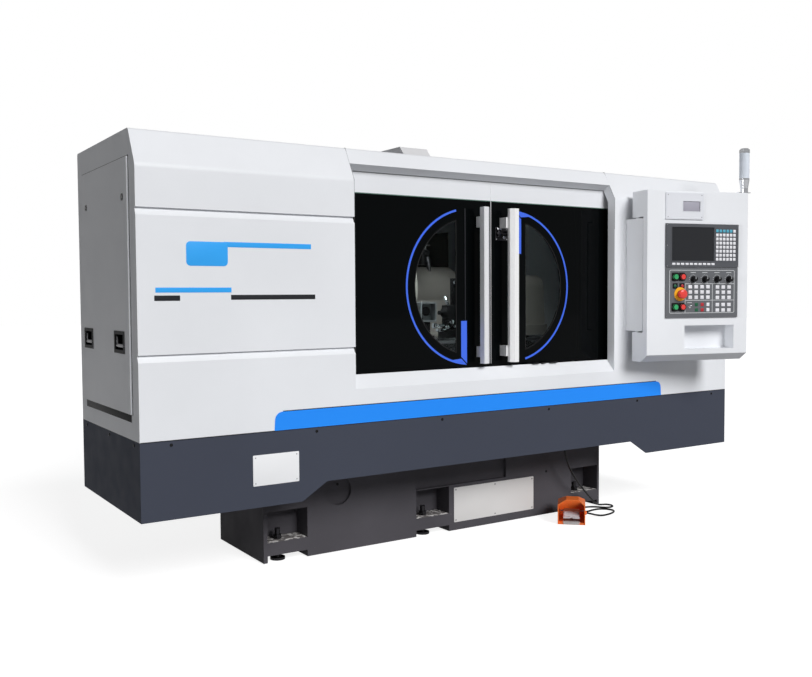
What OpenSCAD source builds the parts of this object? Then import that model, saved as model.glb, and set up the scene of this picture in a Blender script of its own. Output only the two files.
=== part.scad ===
// CNC cylindrical grinder: a cast T-shaped bed, a long sheet-metal enclosure with
// two sliding doors, a swinging control pendant, and the table and wheelhead inside.
// X runs along the work axis, Y to the back, Z up; the floor is z = 0.

/* [Enclosure] */
// Length of the front enclosure
body_l = 2800; // [2600:10:3400]
// Depth of the front enclosure, front to back
body_d = 700; // [640:10:900]
// Height of the flat roof above the floor
roof_z = 1508; // [1470:2:1700]
// Height at which the front starts to lean back
bend_z = 1389; // [1350:1:1400]
// How far the roof edge stands back from the front
lean_d = 64; // [40:1:100]
// Thickness of the folded sheet
sheet_t = 3; // [2:0.5:5]
// Length of the left cover module
left_w = 775; // [700:5:860]
// Length of the right cover module
right_w = 740; // [640:5:900]
// Depth of the folded flange round the door opening
flange_d = 40; // [25:1:55]
// Depth of the pressed grooves across the left cover
groove_d = 10; // [4:1:14]
// Height of the sloping flank below each groove
groove_h = 24; // [12:1:40]

/* [Skirt] */
// Lower edge of the skirt at the two ends
skirt_z = 272; // [200:2:330]
// Lower edge of the skirt in the raised middle
skirt_mid_z = 332; // [300:2:420]
// Joint between skirt and covers
skirt_top_z = 526; // [480:2:560]

/* [Doors] */
// Top of the sill at the front
sill_z = 648; // [600:2:700]
// Distance of the door face behind the front
door_y = 68; // [60:1:90]
// Thickness of the door panel
panel_t = 6; // [4:1:10]
// Depth of the frame behind the door panel
frame_d = 18; // [12:1:30]
// Radius of the round window that the two doors share in halves
window_r = 268; // [220:2:280]
// Outer radius of the blue arcs
arc_r = 308; // [290:2:320]
// Width of the blue arcs
arc_w = 8; // [6:1:16]
// Width of each door handle
handle_w = 35; // [24:1:44]
// Gap between the doors and their lower track
track_gap = 1; // [0.5:0.1:3]

/* [Bed] */
// Length of the bed under the table
bed_l = 1691; // [1500:5:1900]
// Depth of the bed under the table
bed_d = 419; // [380:5:440]
// Height of the bed under the ways
bed_z = 640; // [600:2:660]
// Width of the levelling pockets
pocket_w = 163; // [120:1:200]
// Depth of the levelling pockets
pocket_d = 90; // [70:1:120]
// Radius of the levelling screws
level_r = 10; // [6:1:14]
// Radius of the steel pads on the floor
pad_r = 28; // [24:1:45]

/* [Work zone] */
// Height of the work axis
axis_z = 1013; // [980:1:1040]
// Distance between the centres
centres_l = 500; // [400:10:560]
// Length of the table
table_l = 1210; // [1100:10:1300]
// Radius of the work spindle
work_r = 40; // [30:1:50]
// Radius of the tailstock quill
quill_r = 30; // [20:1:36]
// Radius of the grinding wheel
wheel_r = 250; // [200:5:255]
// Width of the grinding wheel
wheel_w = 50; // [30:1:60]
// Radius of the wheel spindle
spindle_r = 45; // [35:1:55]
// Radial clearance of shafts and pins in their bores
run_fit = 0.05; // [0.02:0.01:0.1]
// Gap between a slide and its ways
slide_gap = 0.3; // [0.2:0.05:0.5]

/* [Pendant] */
// Width of the control box
pendant_w = 508; // [460:2:600]
// Depth of the control box
pendant_d = 114; // [100:2:150]
// Height of the control box front
pendant_h = 699; // [660:1:800]
// Angle at which the control box stands at rest
pendant_turn = 14.5; // [0:0.5:30]
// Radius of the pendant hinge pin
hinge_r = 10; // [6:1:14]
// Radius of the signal lamp
lamp_r = 21.5; // [15:0.5:25]

/* [Foot switch] */
// Width of the foot switch guard
foot_w = 116; // [100:2:140]
// Length of the foot switch
foot_l = 165; // [140:5:200]
// Height of the foot switch guard
foot_h = 108; // [95:1:130]
// Diameter of the foot switch cable
cable_d = 8; // [6:0.5:10]

/* [Hidden] */

$fn = 48;
eps = 0.01;        // overlap that makes two touching cuts one

white = [0.9, 0.9, 0.91];
dark = [0.13, 0.14, 0.17];
cast_grey = [0.15, 0.15, 0.16];
black = [0.02, 0.02, 0.025];
blue = [0.05, 0.3, 0.9];
steel = [0.7, 0.7, 0.72];

// the enclosure is drawn from its left front corner and centred over the floor origin
side_proud = 6;              // thickness of the lift-off side panel
tray_rim = 2;                // rim of the grip trays on that panel
origin_x = (body_l - side_proud - tray_rim) / 2;
origin_y = 820.5;
module at_machine() translate([-origin_x, -origin_y, 0]) children();

right_x = body_l - right_w;  // right edge of the door opening

// ---- outlines -----------------------------------------------------------------

function unit(v) = v / norm(v);
function right_of(v) = [v[1], -v[0]];

// points of the arc of radius r that rounds corner b between a and c
function bend(a, b, c, r, n = 5) = let(
    u = unit(a - b), w = unit(c - b), half = acos(u * w) / 2,
    centre = b + unit(u + w) * r / sin(half), turn = 180 - 2 * half,
    p = b + u * r / tan(half) - centre, q = b + w * r / tan(half) - centre)
    [for (i = [0:n]) centre + (p * sin(turn * (1 - i / n)) + q * sin(turn * i / n)) / sin(turn)];

// a path whose corners are rounded by the given radii, 0 for a sharp one
function rounded(path, radii) = let(n = len(path)) [for (i = [0:n - 1])
    each (radii[i] == 0 ? [path[i]]
        : bend(path[(i + n - 1) % n], path[i], path[(i + 1) % n], radii[i]))];

// point i of the path, moved to its right by t with mitred corners
function mitre(path, i, t) = let(
    n = len(path),
    a = right_of(unit(path[max(i, 1)] - path[max(i, 1) - 1])),
    b = right_of(unit(path[min(i, n - 2) + 1] - path[min(i, n - 2)])))
    path[i] + (a + b) * t / (1 + a * b);
// the line t inside a folded path with corner radii
function inner_line(path, radii, t) = rounded(
    [for (i = [0:len(path) - 1]) mitre(path, i, t)], [for (r = radii) max(r - t, 0)]);
function reversed(list) = [for (i = [len(list) - 1:-1:0]) list[i]];
// closed outline of a sheet of thickness t, folded along the path, on its right side
function sheet(path, radii, t) = concat(rounded(path, radii), reversed(inner_line(path, radii, t)));

module along_x(x0, x1) translate([x0, 0, 0]) rotate([90, 0, 90]) linear_extrude(x1 - x0) children();
module along_y(y0, y1) translate([0, y1, 0]) rotate([90, 0, 0]) linear_extrude(y1 - y0) children();
module block(low, high) translate(low) cube(high - low);
// a rod of radius r along X, centred on (y, z)
module rod_x(x0, x1, y, z, r) translate([x0, y, z]) rotate([0, 90, 0]) cylinder(h = x1 - x0, r = r);

// ---- enclosure ----------------------------------------------------------------

roof_bend_r = 16;
lean_bend_r = 40;
back_bend_r = 8;
// outer line of the covers, from the skirt up the front, over the roof and down the back
cover_path =
    [[0, skirt_top_z], [0, bend_z], [lean_d, roof_z], [body_d, roof_z], [body_d, skirt_top_z]];
cover_radii = [0, lean_bend_r, roof_bend_r, back_bend_r, 0];
groove_zs = [798, 1258];     // upper edges of the two grooves

module groove_cut(t = 0) {
    for (z = groove_zs)
        polygon([[-1, z], [groove_d + t, z + t], [groove_d + t, z - t], [t, z - groove_h - t], [-1, z - groove_h]]);
}

// folded cover section, with the jamb flange on the side that faces the doors
module cover_section(grooves) {
    difference() {
        union() {
            polygon(sheet(cover_path, cover_radii, sheet_t));
            if (grooves) intersection() {
                groove_cut(sheet_t);
                translate([0, skirt_top_z]) square([body_d, roof_z - skirt_top_z]);
            }
        }
        if (grooves) groove_cut();
    }
}
module flange_section(grooves) {
    difference() {
        polygon(sheet(cover_path, cover_radii, flange_d));
        if (grooves) groove_cut();
        // way through for the upper door rail
        translate([rail_y - rail_base_w / 2 - 4, roof_z - flange_d - 1])
            square([rail_base_w + 8, flange_d - sheet_t + 1]);
    }
}

lintel = [31, 1449];         // front edge of the lintel, on the sloping face
lintel_in = [66, 1428];      // inner edge of its flange
corner_r = 28;

// lift-off service panel in the left side
panel_y0 = 68;
panel_y1 = 634;
panel_z0 = 608;
panel_z1 = 1420;
panel_lap = 16;              // how far the panel laps over its opening

module left_cover() {
    color(white) at_machine() {
        along_x(0, left_w) cover_section(true);
        along_x(left_w - sheet_t, left_w) flange_section(true);
        difference() {
            along_x(0, sheet_t) difference() {
                polygon(rounded(cover_path, cover_radii));
                groove_cut();
            }
            block([-1, panel_y0 + panel_lap, panel_z0 + panel_lap],
                  [sheet_t + 1, panel_y1 - panel_lap, panel_z1 - panel_lap]);
        }
    }
}

module right_cover() {
    color(white) at_machine() {
        along_x(right_x, body_l) cover_section(false);
        along_x(right_x, right_x + sheet_t) flange_section(false);
        along_x(body_l - sheet_t, body_l) polygon(rounded(cover_path, cover_radii));
        // rounded inner corner of the door opening
        along_y(lintel_in[0] - 4, lintel_in[0]) difference() {
            translate([right_x, lintel_in[1] - corner_r]) square([corner_r + 4, corner_r + 3]);
            translate([right_x + 2, lintel_in[1] - corner_r]) circle(r = corner_r);
        }
    }
}

// the way from the front enclosure to the wheelhead behind it
passage_x0 = 1340;
passage_x1 = 1930;
passage_z1 = 1400;
rear_bed_x0 = 1150;          // rear part of the bed
rear_bed_x1 = 1930;
rear_bed_z = 700;
bed_gap = 4;                 // sheet metal stays this far from the casting

module top_cover() {
    path = [lintel_in, lintel, [lean_d, roof_z], [body_d, roof_z], [body_d, skirt_top_z]];
    radii = [0, 0, roof_bend_r, back_bend_r, 0];
    color(white) at_machine() difference() {
        along_x(left_w, right_x) polygon(sheet(path, radii, sheet_t));
        block([passage_x0, body_d - 20, skirt_top_z - 1], [passage_x1, body_d + 1, passage_z1]);
        block([rear_bed_x0 - bed_gap, body_d - 20, skirt_top_z - 1],
              [rear_bed_x1 + bed_gap, body_d + 1, rear_bed_z + bed_gap]);
    }
}

sill_in = [40, 696];         // inner edge of the sloping sill
shelf_z = 657;               // shelf behind the sill, under the lower track
shelf_y = 112;

module apron() {
    path = [[0, skirt_top_z], [0, sill_z], sill_in, [sill_in[0] + 6, sill_in[1]],
            [sill_in[0] + 6, shelf_z], [shelf_y, shelf_z]];
    color(white) at_machine() along_x(left_w, right_x)
        polygon(sheet(path, [for (p = path) 0], sheet_t));
}

// ---- skirt and tray -----------------------------------------------------------

notch_x0 = 560;
notch_x1 = body_l - 539;
notch_run = 96;              // length of the sloping ends of the notch
skirt_r = 22;

module skirt() {
    front = rounded(
        [[0, skirt_z], [notch_x0, skirt_z], [notch_x0 + notch_run, skirt_mid_z],
         [notch_x1 - notch_run, skirt_mid_z], [notch_x1, skirt_z], [body_l, skirt_z],
         [body_l, skirt_top_z], [0, skirt_top_z]],
        [0, skirt_r, skirt_r, skirt_r, skirt_r, 0, 0, 0]);
    color(dark) at_machine() {
        along_y(0, sheet_t) polygon(front);
        difference() {
            block([0, 0, skirt_z], [body_l, body_d, skirt_top_z]);
            block([sheet_t, -1, skirt_z - 1], [body_l - sheet_t, body_d - sheet_t, skirt_top_z + 1]);
            block([rear_bed_x0 - bed_gap, 0, skirt_z - 1],
                  [rear_bed_x1 + bed_gap, body_d + 1, skirt_top_z + 1]);
        }
    }
}

bed_x0 = 517;
bed_y0 = 236;
bed_x1 = bed_x0 + bed_l;
bed_y1 = bed_y0 + bed_d;

// floor of the enclosure; its opening and the rim round it close on the casting
module drip_tray() {
    lip = 5;                 // upturned rim round the casting
    lip_h = 30;
    z0 = skirt_top_z - sheet_t;
    color(steel) at_machine() difference() {
        union() {
            block([sheet_t, sheet_t, z0], [body_l - sheet_t, body_d - sheet_t, skirt_top_z]);
            block([bed_x0 - lip, bed_y0 - lip, z0], [bed_x1 + lip, bed_y1 + lip, skirt_top_z + lip_h]);
        }
        block([bed_x0, bed_y0, z0 - 1], [bed_x1, bed_y1, skirt_top_z + lip_h + 1]);
        block([rear_bed_x0, bed_y1 - 1, z0 - 1], [rear_bed_x1, body_d + 1, skirt_top_z + lip_h + 1]);
    }
}

// ---- trim on the enclosure ----------------------------------------------------

stripe_x0 = 457;
stripe_x1 = 2355;
stripe_z1 = 589;
stripe_t = 1.5;

module blue_stripe() {
    outline = rounded(
        [[stripe_x0, skirt_top_z], [stripe_x0 + 4, stripe_z1], [stripe_x1 - 4, stripe_z1],
         [stripe_x1, skirt_top_z]], [0, 28, 28, 0]);
    color(blue) at_machine() along_y(-stripe_t, 0) polygon(outline);
}

hood_x0 = 1191;
hood_x1 = 1324;
hood_y0 = 282;
hood_y1 = 560;
hood_h = 78;
hood_lean = 68;              // how far the hood's front leans back

module roof_hood() {
    path = [[hood_y0, roof_z], [hood_y0 + hood_lean, roof_z + hood_h], [hood_y1, roof_z + hood_h],
            [hood_y1, roof_z]];
    radii = [0, 6, 6, 0];
    color(white) at_machine() {
        for (x = [hood_x0, hood_x1 - sheet_t])
            along_x(x, x + sheet_t) polygon(rounded(path, radii));
        difference() {
            along_x(hood_x0, hood_x1) polygon(sheet(path, radii, sheet_t));
            // air slots in the hood's back
            for (z = [16:14:58])
                block([hood_x0 + 20, hood_y1 - 9, roof_z + z], [hood_x1 - 20, hood_y1 + 1, roof_z + z + 6]);
            // lower edge of the leaning front trimmed to lie flat on the roof
            block([hood_x0 - 1, hood_y0 - 1, roof_z - 6], [hood_x1 + 1, hood_y1 + 1, roof_z]);
        }
    }
}

tray_w = 114;
tray_h = 72;
tray_z = 834;                // middle of the grip trays
tray_ys = [177, 560];
tray_depth = 24;
tray_fit = 0.2;
bail_z = 852;                // hinge line of the bails
bail_rod = 4;

module side_panel() {
    color(white) at_machine() difference() {
        block([-side_proud, panel_y0, panel_z0], [0, panel_y1, panel_z1]);
        block([-side_proud + 2, panel_y0 + 2, panel_z0 + 2], [1, panel_y1 - 2, panel_z1 - 2]);
        for (y = tray_ys)
            block([-side_proud - 1, y - tray_w / 2 + 8 - tray_fit, tray_z - tray_h / 2 + 8 - tray_fit],
                  [1, y + tray_w / 2 - 8 + tray_fit, tray_z + tray_h / 2 - 8 + tray_fit]);
    }
}

// black recessed grip trays, with a bored lug each side for the bail
module side_trays() {
    rim = tray_rim;
    x = -side_proud;
    color(black) at_machine() for (y = tray_ys) difference() {
        union() {
            block([x - rim, y - tray_w / 2, tray_z - tray_h / 2], [x, y + tray_w / 2, tray_z + tray_h / 2]);
            block([x - rim, y - tray_w / 2 + 8, tray_z - tray_h / 2 + 8],
                  [x + tray_depth, y + tray_w / 2 - 8, tray_z + tray_h / 2 - 8]);
        }
        block([x - rim - 1, y - tray_w / 2 + 12, tray_z - tray_h / 2 + 11],
              [x + tray_depth - 2, y + tray_w / 2 - 12, tray_z + tray_h / 2 - 11]);
        translate([x + 4, y - tray_w / 2 + 9, bail_z]) rotate([-90, 0, 0])
            cylinder(h = tray_w - 18, r = bail_rod / 2 + run_fit);
    }
}

// a grip on two legs, hung from short pins in the lugs of the tray
module bail(y) {
    leg = tray_w / 2 - 18;       // each leg's distance from the middle
    leg_r = bail_rod / 2 + 1;
    drop = 30;
    pin = 8;                     // from the middle of the leg into the lug
    color(steel) at_machine() translate([-side_proud + 4, y, bail_z]) {
        for (s = [-1, 1]) {
            translate([0, s < 0 ? -leg - pin : leg, 0]) rotate([-90, 0, 0])
                cylinder(h = pin, r = bail_rod / 2);
            block([-leg_r, s * leg - leg_r, -drop], [leg_r, s * leg + leg_r, leg_r + 1]);
        }
        translate([0, -leg - leg_r, -drop]) rotate([-90, 0, 0])
            cylinder(h = 2 * (leg + leg_r), r = bail_rod);
    }
}
module side_bail_front() bail(tray_ys[0]);
module side_bail_rear() bail(tray_ys[1]);

// ---- rear wheelhead cover -----------------------------------------------------

rear_x0 = 900;
rear_x1 = 2150;
rear_y1 = 1900;
rear_z0 = 330;
rear_z1 = 1560;
louvre_n = 9;

module rear_cover() {
    path = [[rear_x0, rear_z0], [rear_x0, rear_z1], [rear_x1, rear_z1], [rear_x1, rear_z0]];
    radii = [0, 24, 24, 0];
    color(white) at_machine() difference() {
        union() {
            along_y(body_d, rear_y1) polygon(sheet(path, radii, sheet_t));
            along_y(rear_y1 - sheet_t, rear_y1) polygon(rounded(path, radii));
            // front edge that closes against the back and roof of the enclosure
            along_y(body_d, body_d + sheet_t) difference() {
                polygon(rounded(path, radii));
                translate([rear_x0 + 60, rear_z0 - 1])
                    square([rear_x1 - rear_x0 - 120, passage_z1 - rear_z0 + 1]);
            }
        }
        block([rear_bed_x0 - bed_gap, rear_y1 - 20, rear_z0 - 1],
              [rear_bed_x1 + bed_gap, rear_y1 + 1, rear_bed_z + bed_gap]);
        for (i = [0:louvre_n - 1], x = [rear_x0 - 1, rear_x1 - sheet_t - 1])
            block([x, 1350, 1050 + i * 32], [x + sheet_t + 2, 1650, 1060 + i * 32]);
    }
}

// ---- bed ----------------------------------------------------------------------

bed_base_z = 3;              // the casting hangs this far over the floor, on its pads
shelf_lo = 28;               // underside of the pocket shelves
pocket_z0 = 77;
pocket_z1 = 190;
pocket_xs = [533, 1187, bed_x1 - 13 - pocket_w];
screw_x = 60;                // each screw's place across its pocket
screw_y = bed_y0 + pocket_d / 2;
rear_y_end = 1880;
rear_pocket_xs = [rear_bed_x0 + 60, rear_bed_x1 - 60 - pocket_w];
rear_screw_y = rear_y_end - pocket_d / 2;
screw_fit = 0.5;

way_v_y = 330;               // middle of the V way
way_v_w = 60;
way_v_h = 30;
way_z = 655;                 // top of the flat way
way_flat_y0 = 440;
way_flat_y1 = 500;
v_way = [[way_v_y - way_v_w / 2, bed_z + 10], [way_v_y, bed_z + 10 + way_v_h], [way_v_y + way_v_w / 2, bed_z + 10]];

rail_w = 50;                 // cross ways that carry the wheelhead
rail_z = 720;
rail_xs = [1530, 1740];

module level_pocket(x, y0, y1) {
    block([x, y0, pocket_z0], [x + pocket_w, y1, pocket_z1]);
    block([x, y0, 0], [x + pocket_w, y1, shelf_lo]);
}

module bed() {
    color(cast_grey) at_machine() difference() {
        union() {
            block([bed_x0, bed_y0, bed_base_z], [bed_x1, bed_y1, bed_z]);
            block([rear_bed_x0, bed_y1 - 1, bed_base_z], [rear_bed_x1, rear_y_end, rear_bed_z]);
            along_x(bed_x0 + 20, bed_x1 - 20) {
                polygon(v_way);
                translate([way_v_y - way_v_w / 2, bed_z - 1]) square([way_v_w, 11]);
                translate([way_flat_y0, bed_z - 1]) square([way_flat_y1 - way_flat_y0, way_z - bed_z + 1]);
            }
            for (x = rail_xs) block([x, bed_y1 + 5, rear_bed_z - 1], [x + rail_w, 1700, rail_z]);
        }
        for (x = pocket_xs) {
            level_pocket(x, bed_y0 - 1, bed_y0 + pocket_d);
            translate([x + screw_x, screw_y, 0]) cylinder(h = 100, r = level_r + screw_fit);
        }
        for (x = rear_pocket_xs) {
            level_pocket(x, rear_y_end - pocket_d, rear_y_end + 1);
            translate([x + screw_x, rear_screw_y, 0]) cylinder(h = 100, r = level_r + screw_fit);
        }
        // shallow recess above the middle pocket, and a round core opening beside it
        block([pocket_xs[1] - 2, bed_y0 - 1, pocket_z1 + 4], [1652, bed_y0 + 14, 470]);
        translate([830, bed_y0 - 1, 235]) rotate([-90, 0, 0]) cylinder(h = 13, r = 55);
    }
}

module levelling_feet() {
    nut_h = 16;
    nut_r = 17;
    pad_h = 9;
    color(black) at_machine()
        for (p = concat([for (x = pocket_xs) [x, screw_y]], [for (x = rear_pocket_xs) [x, rear_screw_y]]))
            translate([p[0] + screw_x, p[1], 0]) {
                cylinder(h = pad_h, r = pad_r);
                cylinder(h = 116, r = level_r);
                translate([0, 0, pocket_z0]) cylinder(h = nut_h, r = nut_r, $fn = 6);
            }
}

// ---- door rails ---------------------------------------------------------------

rail_y = 112;
rail_r = 8;
guide_z = 1440;              // axis of the upper guide bar
rail_x0 = 40;
rail_x1 = body_l - 40;
bearing_r = 17;
rail_base_w = 32;

// lower track: a channel on the shelf behind the sill
track_y0 = 76;
track_slot = 8;
fin_t = track_slot - 2 * track_gap;

module door_rails() {
    web = 5;
    color(steel) at_machine() {
        rod_x(rail_x0, rail_x1, rail_y, guide_z, rail_r);
        along_x(rail_x0, rail_x1) {
            translate([rail_y - web / 2, guide_z]) square([web, roof_z - sheet_t - guide_z]);
            translate([rail_y - rail_base_w / 2, roof_z - sheet_t - 8]) square([rail_base_w, 8]);
        }
        difference() {
            block([rail_x0, track_y0 - 6, shelf_z], [rail_x1, track_y0 + track_slot + 6, shelf_z + 18]);
            block([rail_x0 - 1, track_y0, shelf_z + 4], [rail_x1 + 1, track_y0 + track_slot, shelf_z + 19]);
        }
        // brackets that carry the track ends inside the two end covers
        for (x = [rail_x0, rail_x1 - 40])
            block([x, track_y0 - 6, skirt_top_z], [x + 40, track_y0 + track_slot + 6, shelf_z]);
    }
}

// ---- doors --------------------------------------------------------------------

seam_x = 1440;               // the doors meet here
door_gap = 0.8;
door_w = 720;
right_door_w = 680;
door_z0 = 680;
door_z1 = 1428;
band_z = 1354;               // lower edge of the pale band along the top
left_arc_x = seam_x - 99;
right_arc_x = seam_x + 104;
window_edge = 74;            // flat side of the window, measured from the arc centre
pane_lap = 12;

// half-round window outline; side is -1 for the left door and 1 for the right
module window_shape(centre_x, side, grow = 0) {
    reach = window_r + grow;
    flat = window_edge - grow;
    translate([centre_x, axis_z]) intersection() {
        circle(r = reach, $fn = 96);
        translate([side < 0 ? -reach : flat, -reach]) square([reach - flat, 2 * reach]);
    }
}

module door_panel(x0, x1, centre_x, side) {
    along_y(door_y, door_y + panel_t) difference() {
        translate([x0, door_z0 + 12]) square([x1 - x0, band_z - door_z0 - 12]);
        window_shape(centre_x, side);
    }
}

// frame behind the panel, with the pale band above it and the fin in the lower track
module door_frame(x0, x1) {
    bar = 34;
    y0 = door_y + panel_t;
    difference() {
        block([x0, y0, door_z0], [x1, y0 + frame_d, door_z1]);
        block([x0 + bar, y0 - 1, door_z0 + bar], [x1 - bar, y0 + frame_d + 1, band_z - 4]);
    }
    block([x0, door_y, band_z], [x1, y0, door_z1]);
    block([x0 + 30, track_y0 + track_gap, shelf_z + 4 + track_gap],
          [x1 - 30, track_y0 + track_slot - track_gap, door_z0]);
}

module carriages(x0, x1) {
    y0 = door_y + panel_t + frame_d;
    slot = 9;
    for (x = [x0 + 60, x1 - 130]) difference() {
        block([x, y0, guide_z - bearing_r], [x + 70, rail_y + bearing_r, guide_z + bearing_r]);
        rod_x(x - 1, x + 71, rail_y, guide_z, rail_r + run_fit);
        block([x - 1, rail_y - slot / 2, guide_z], [x + 71, rail_y + slot / 2, guide_z + bearing_r + 1]);
    }
}

handle_z0 = 712;
handle_z1 = 1322;
standoff_w = 30;
standoff_h = 42;

// wedge-shaped bar on two standoffs; near is the side towards the seam
module handle(x0, side) {
    x1 = x0 + handle_w;
    near = side < 0 ? x1 : x0;
    far = side < 0 ? x0 : x1;
    translate([0, 0, handle_z0]) linear_extrude(handle_z1 - handle_z0)
        polygon([[far, 0], [far, 27], [near, 27], [near, 13], [near + side * handle_w * 0.42, 0]]);
    for (z = [735, 1246])
        block([near - (side < 0 ? standoff_w - 8 : 8), 27, z],
              [near + (side < 0 ? 8 : standoff_w - 8), door_y, z + standoff_h]);
}

bar_far = 51;                // the upright bar of the arc, measured from the arc centre
bar_near = 23;
bar_h = 173;

// arc from its upper end round to a point, with the upright bar that stands on the point;
// drawn for the left door, and half a turn round for the right one
module arc_trim(centre_x, turn) {
    mid_r = arc_r - arc_w / 2;
    far_a = 360 - acos(-bar_near / mid_r);
    near_a = 104;
    translate([centre_x, 0, axis_z]) rotate([0, turn, 0]) along_y(door_y - 1, door_y) {
        polygon(concat(
            [for (i = [0:48]) let(a = near_a + (far_a - near_a) * i / 48) [cos(a), sin(a)] * arc_r],
            [[-bar_far + 1, 26 - arc_r]],
            [for (i = [44:-1:0]) let(a = near_a + (far_a - near_a) * i / 48) [cos(a), sin(a)] * (arc_r - arc_w)]));
        polygon([[-bar_far, 34 - arc_r], [-bar_far, 34 - arc_r + bar_h - 33],
                 [-bar_near, 34 - arc_r + bar_h - 33], [-bar_near, 7 - arc_r]]);
    }
}

left_x0 = seam_x - door_w;
left_x1 = seam_x - door_gap / 2;
right_door_x0 = seam_x + door_gap / 2;
right_door_x1 = seam_x + right_door_w;
left_handle_x = 1353;
right_handle_x = 1492;

module left_door_frame() color(white) at_machine() door_frame(left_x0, left_x1);
module left_door_panel() color(black) at_machine() door_panel(left_x0, left_x1, left_arc_x, -1);
module left_window() color([0.2, 0.22, 0.22, 0.4]) at_machine() window_pane(left_arc_x, -1);
module left_arc() color(blue) at_machine() arc_trim(left_arc_x, 0);
module left_handle() color(steel) at_machine() handle(left_handle_x, -1);
module left_carriages() color(steel) at_machine() carriages(left_x0, left_x1);

module right_door_frame() color(white) at_machine() door_frame(right_door_x0, right_door_x1);
module right_door_panel() color(black) at_machine()
    door_panel(right_door_x0, right_door_x1, right_arc_x, 1);
module right_window() color([0.2, 0.22, 0.22, 0.4]) at_machine() window_pane(right_arc_x, 1);
module right_arc() color(blue) at_machine() arc_trim(right_arc_x, 180);
module right_handle() color(steel) at_machine() handle(right_handle_x, 1);
module right_carriages() color(steel) at_machine() carriages(right_door_x0, right_door_x1);

pane_t = 6;
module window_pane(centre_x, side) {
    along_y(door_y + panel_t, door_y + panel_t + pane_t) window_shape(centre_x, side, pane_lap);
}

// ---- table, workhead, tailstock -----------------------------------------------

work_y = 400;
wheel_x = seam_x;
table_x0 = wheel_x + 15 - table_l / 2;
table_x1 = table_x0 + table_l;
table_z = 800;
table_lo = way_z + slide_gap;
v_gap = 0.5;                 // vertical gap in the V way
swivel_z = 733;              // the swivel table lies on the lower table here

module table() {
    color(steel) at_machine() difference() {
        along_x(table_x0, table_x1) difference() {
            union() {
                translate([290, table_lo]) square([222, swivel_z - table_lo]);
                polygon([[300, swivel_z], [300, table_z - 22], [312, table_z - 10], [312, table_z],
                         [500, table_z], [500, swivel_z]]);
            }
            translate([0, v_gap]) polygon(v_way);
            translate([way_v_y + 30, table_lo - 1]) square([way_flat_y0 - way_v_y - 40, 20]);
            // T-slot along the top
            translate([392, table_z - 14]) square([16, 15]);
            translate([384, table_z - 26]) square([32, 13]);
        }
        // coolant grooves across the top, on the work's side of each head
        for (x = [head_x1 + 10, tail_x0 - 16])
            block([x, 311, table_z - 4], [x + 6, 501, table_z + 1]);
    }
}

tip_l = wheel_x - centres_l / 2;     // point of the left centre
tip_r = wheel_x + centres_l / 2;
head_x1 = tip_l - 80;
head_x0 = head_x1 - 230;

module workhead() {
    color(cast_grey) at_machine() difference() {
        union() {
            block([head_x0, work_y - 90, table_z], [head_x1, work_y + 90, table_z + 40]);
            block([head_x0, work_y - 78, table_z + 39], [head_x1, work_y + 78, axis_z]);
            rod_x(head_x0, head_x1, work_y, axis_z, 95);
            rod_x(head_x1 - 1, head_x1 + 8, work_y, axis_z, 72);
            // motor housing on the back end
            rod_x(head_x0 - 110, head_x0 + 1, work_y, axis_z, 80);
        }
        rod_x(head_x0 - 20, head_x1 + 9, work_y, axis_z, work_r + run_fit);
    }
}

module work_spindle() {
    plate_x = head_x1 + 14;
    color(steel) at_machine() {
        translate([head_x0 - 10, work_y, axis_z]) rotate([0, 90, 0]) rotate_extrude()
            polygon([[0, 0], [work_r, 0], [work_r, plate_x - head_x0 + 10],
                     [74, plate_x - head_x0 + 10], [74, plate_x - head_x0 + 26], [26, plate_x - head_x0 + 26],
                     [20, plate_x - head_x0 + 40], [20, tip_l - head_x0 - 25], [0, tip_l - head_x0 + 10]]);
        rod_x(plate_x + 15, plate_x + 52, work_y, axis_z + 56, 7);
    }
}

tail_x0 = tip_r + 100;
tail_x1 = tail_x0 + 170;

module tailstock() {
    color(cast_grey) at_machine() difference() {
        union() {
            block([tail_x0, work_y - 80, table_z + slide_gap], [tail_x1, work_y + 80, table_z + 46]);
            along_x(tail_x0, tail_x1) polygon(
                [[work_y - 66, table_z + 45], [work_y + 66, table_z + 45],
                 [work_y + quill_r + 26, axis_z], [work_y - quill_r - 26, axis_z]]);
            rod_x(tail_x0, tail_x1, work_y, axis_z, quill_r + 26);
        }
        rod_x(tail_x0 - 1, tail_x1 + 1, work_y, axis_z, quill_r + run_fit);
    }
}

module quill() {
    color(steel) at_machine() translate([tip_r, work_y, axis_z]) rotate([0, 90, 0]) rotate_extrude()
        polygon([[0, 0], [18, 31], [18, 46], [quill_r, 52], [quill_r, 290], [0, 290]]);
}

// ---- wheelhead ----------------------------------------------------------------

wheel_y = 880;
guard_gap = 14;
guard_x0 = wheel_x - 55;
guard_x1 = wheel_x + 55;
guard_r = wheel_r + guard_gap + 18;
housing_x1 = guard_x1 + 305;
housing_r = 105;
keeper_w = 12;
saddle_x0 = rail_xs[0] - keeper_w - 3;
saddle_x1 = rail_xs[1] + rail_w + keeper_w + 3;

module wheelhead() {
    saddle_z = rail_z + slide_gap;
    color(cast_grey) at_machine() difference() {
        union() {
            block([saddle_x0, wheel_y - 130, saddle_z], [saddle_x1, wheel_y + 450, saddle_z + 80]);
            // keepers that straddle the cross ways
            for (x = [saddle_x0, saddle_x1 - keeper_w])
                block([x, wheel_y - 130, saddle_z - 16], [x + keeper_w, wheel_y + 450, saddle_z + 1]);
            block([guard_x1, wheel_y - 90, saddle_z + 79], [housing_x1, wheel_y + 90, axis_z]);
            rod_x(guard_x1, housing_x1, wheel_y, axis_z, housing_r);
            block([1560, wheel_y + 220, saddle_z + 79], [1790, wheel_y + 430, saddle_z + 110]);
        }
        rod_x(guard_x1 - 1, housing_x1 + 1, wheel_y, axis_z, spindle_r + run_fit);
    }
}

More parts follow.
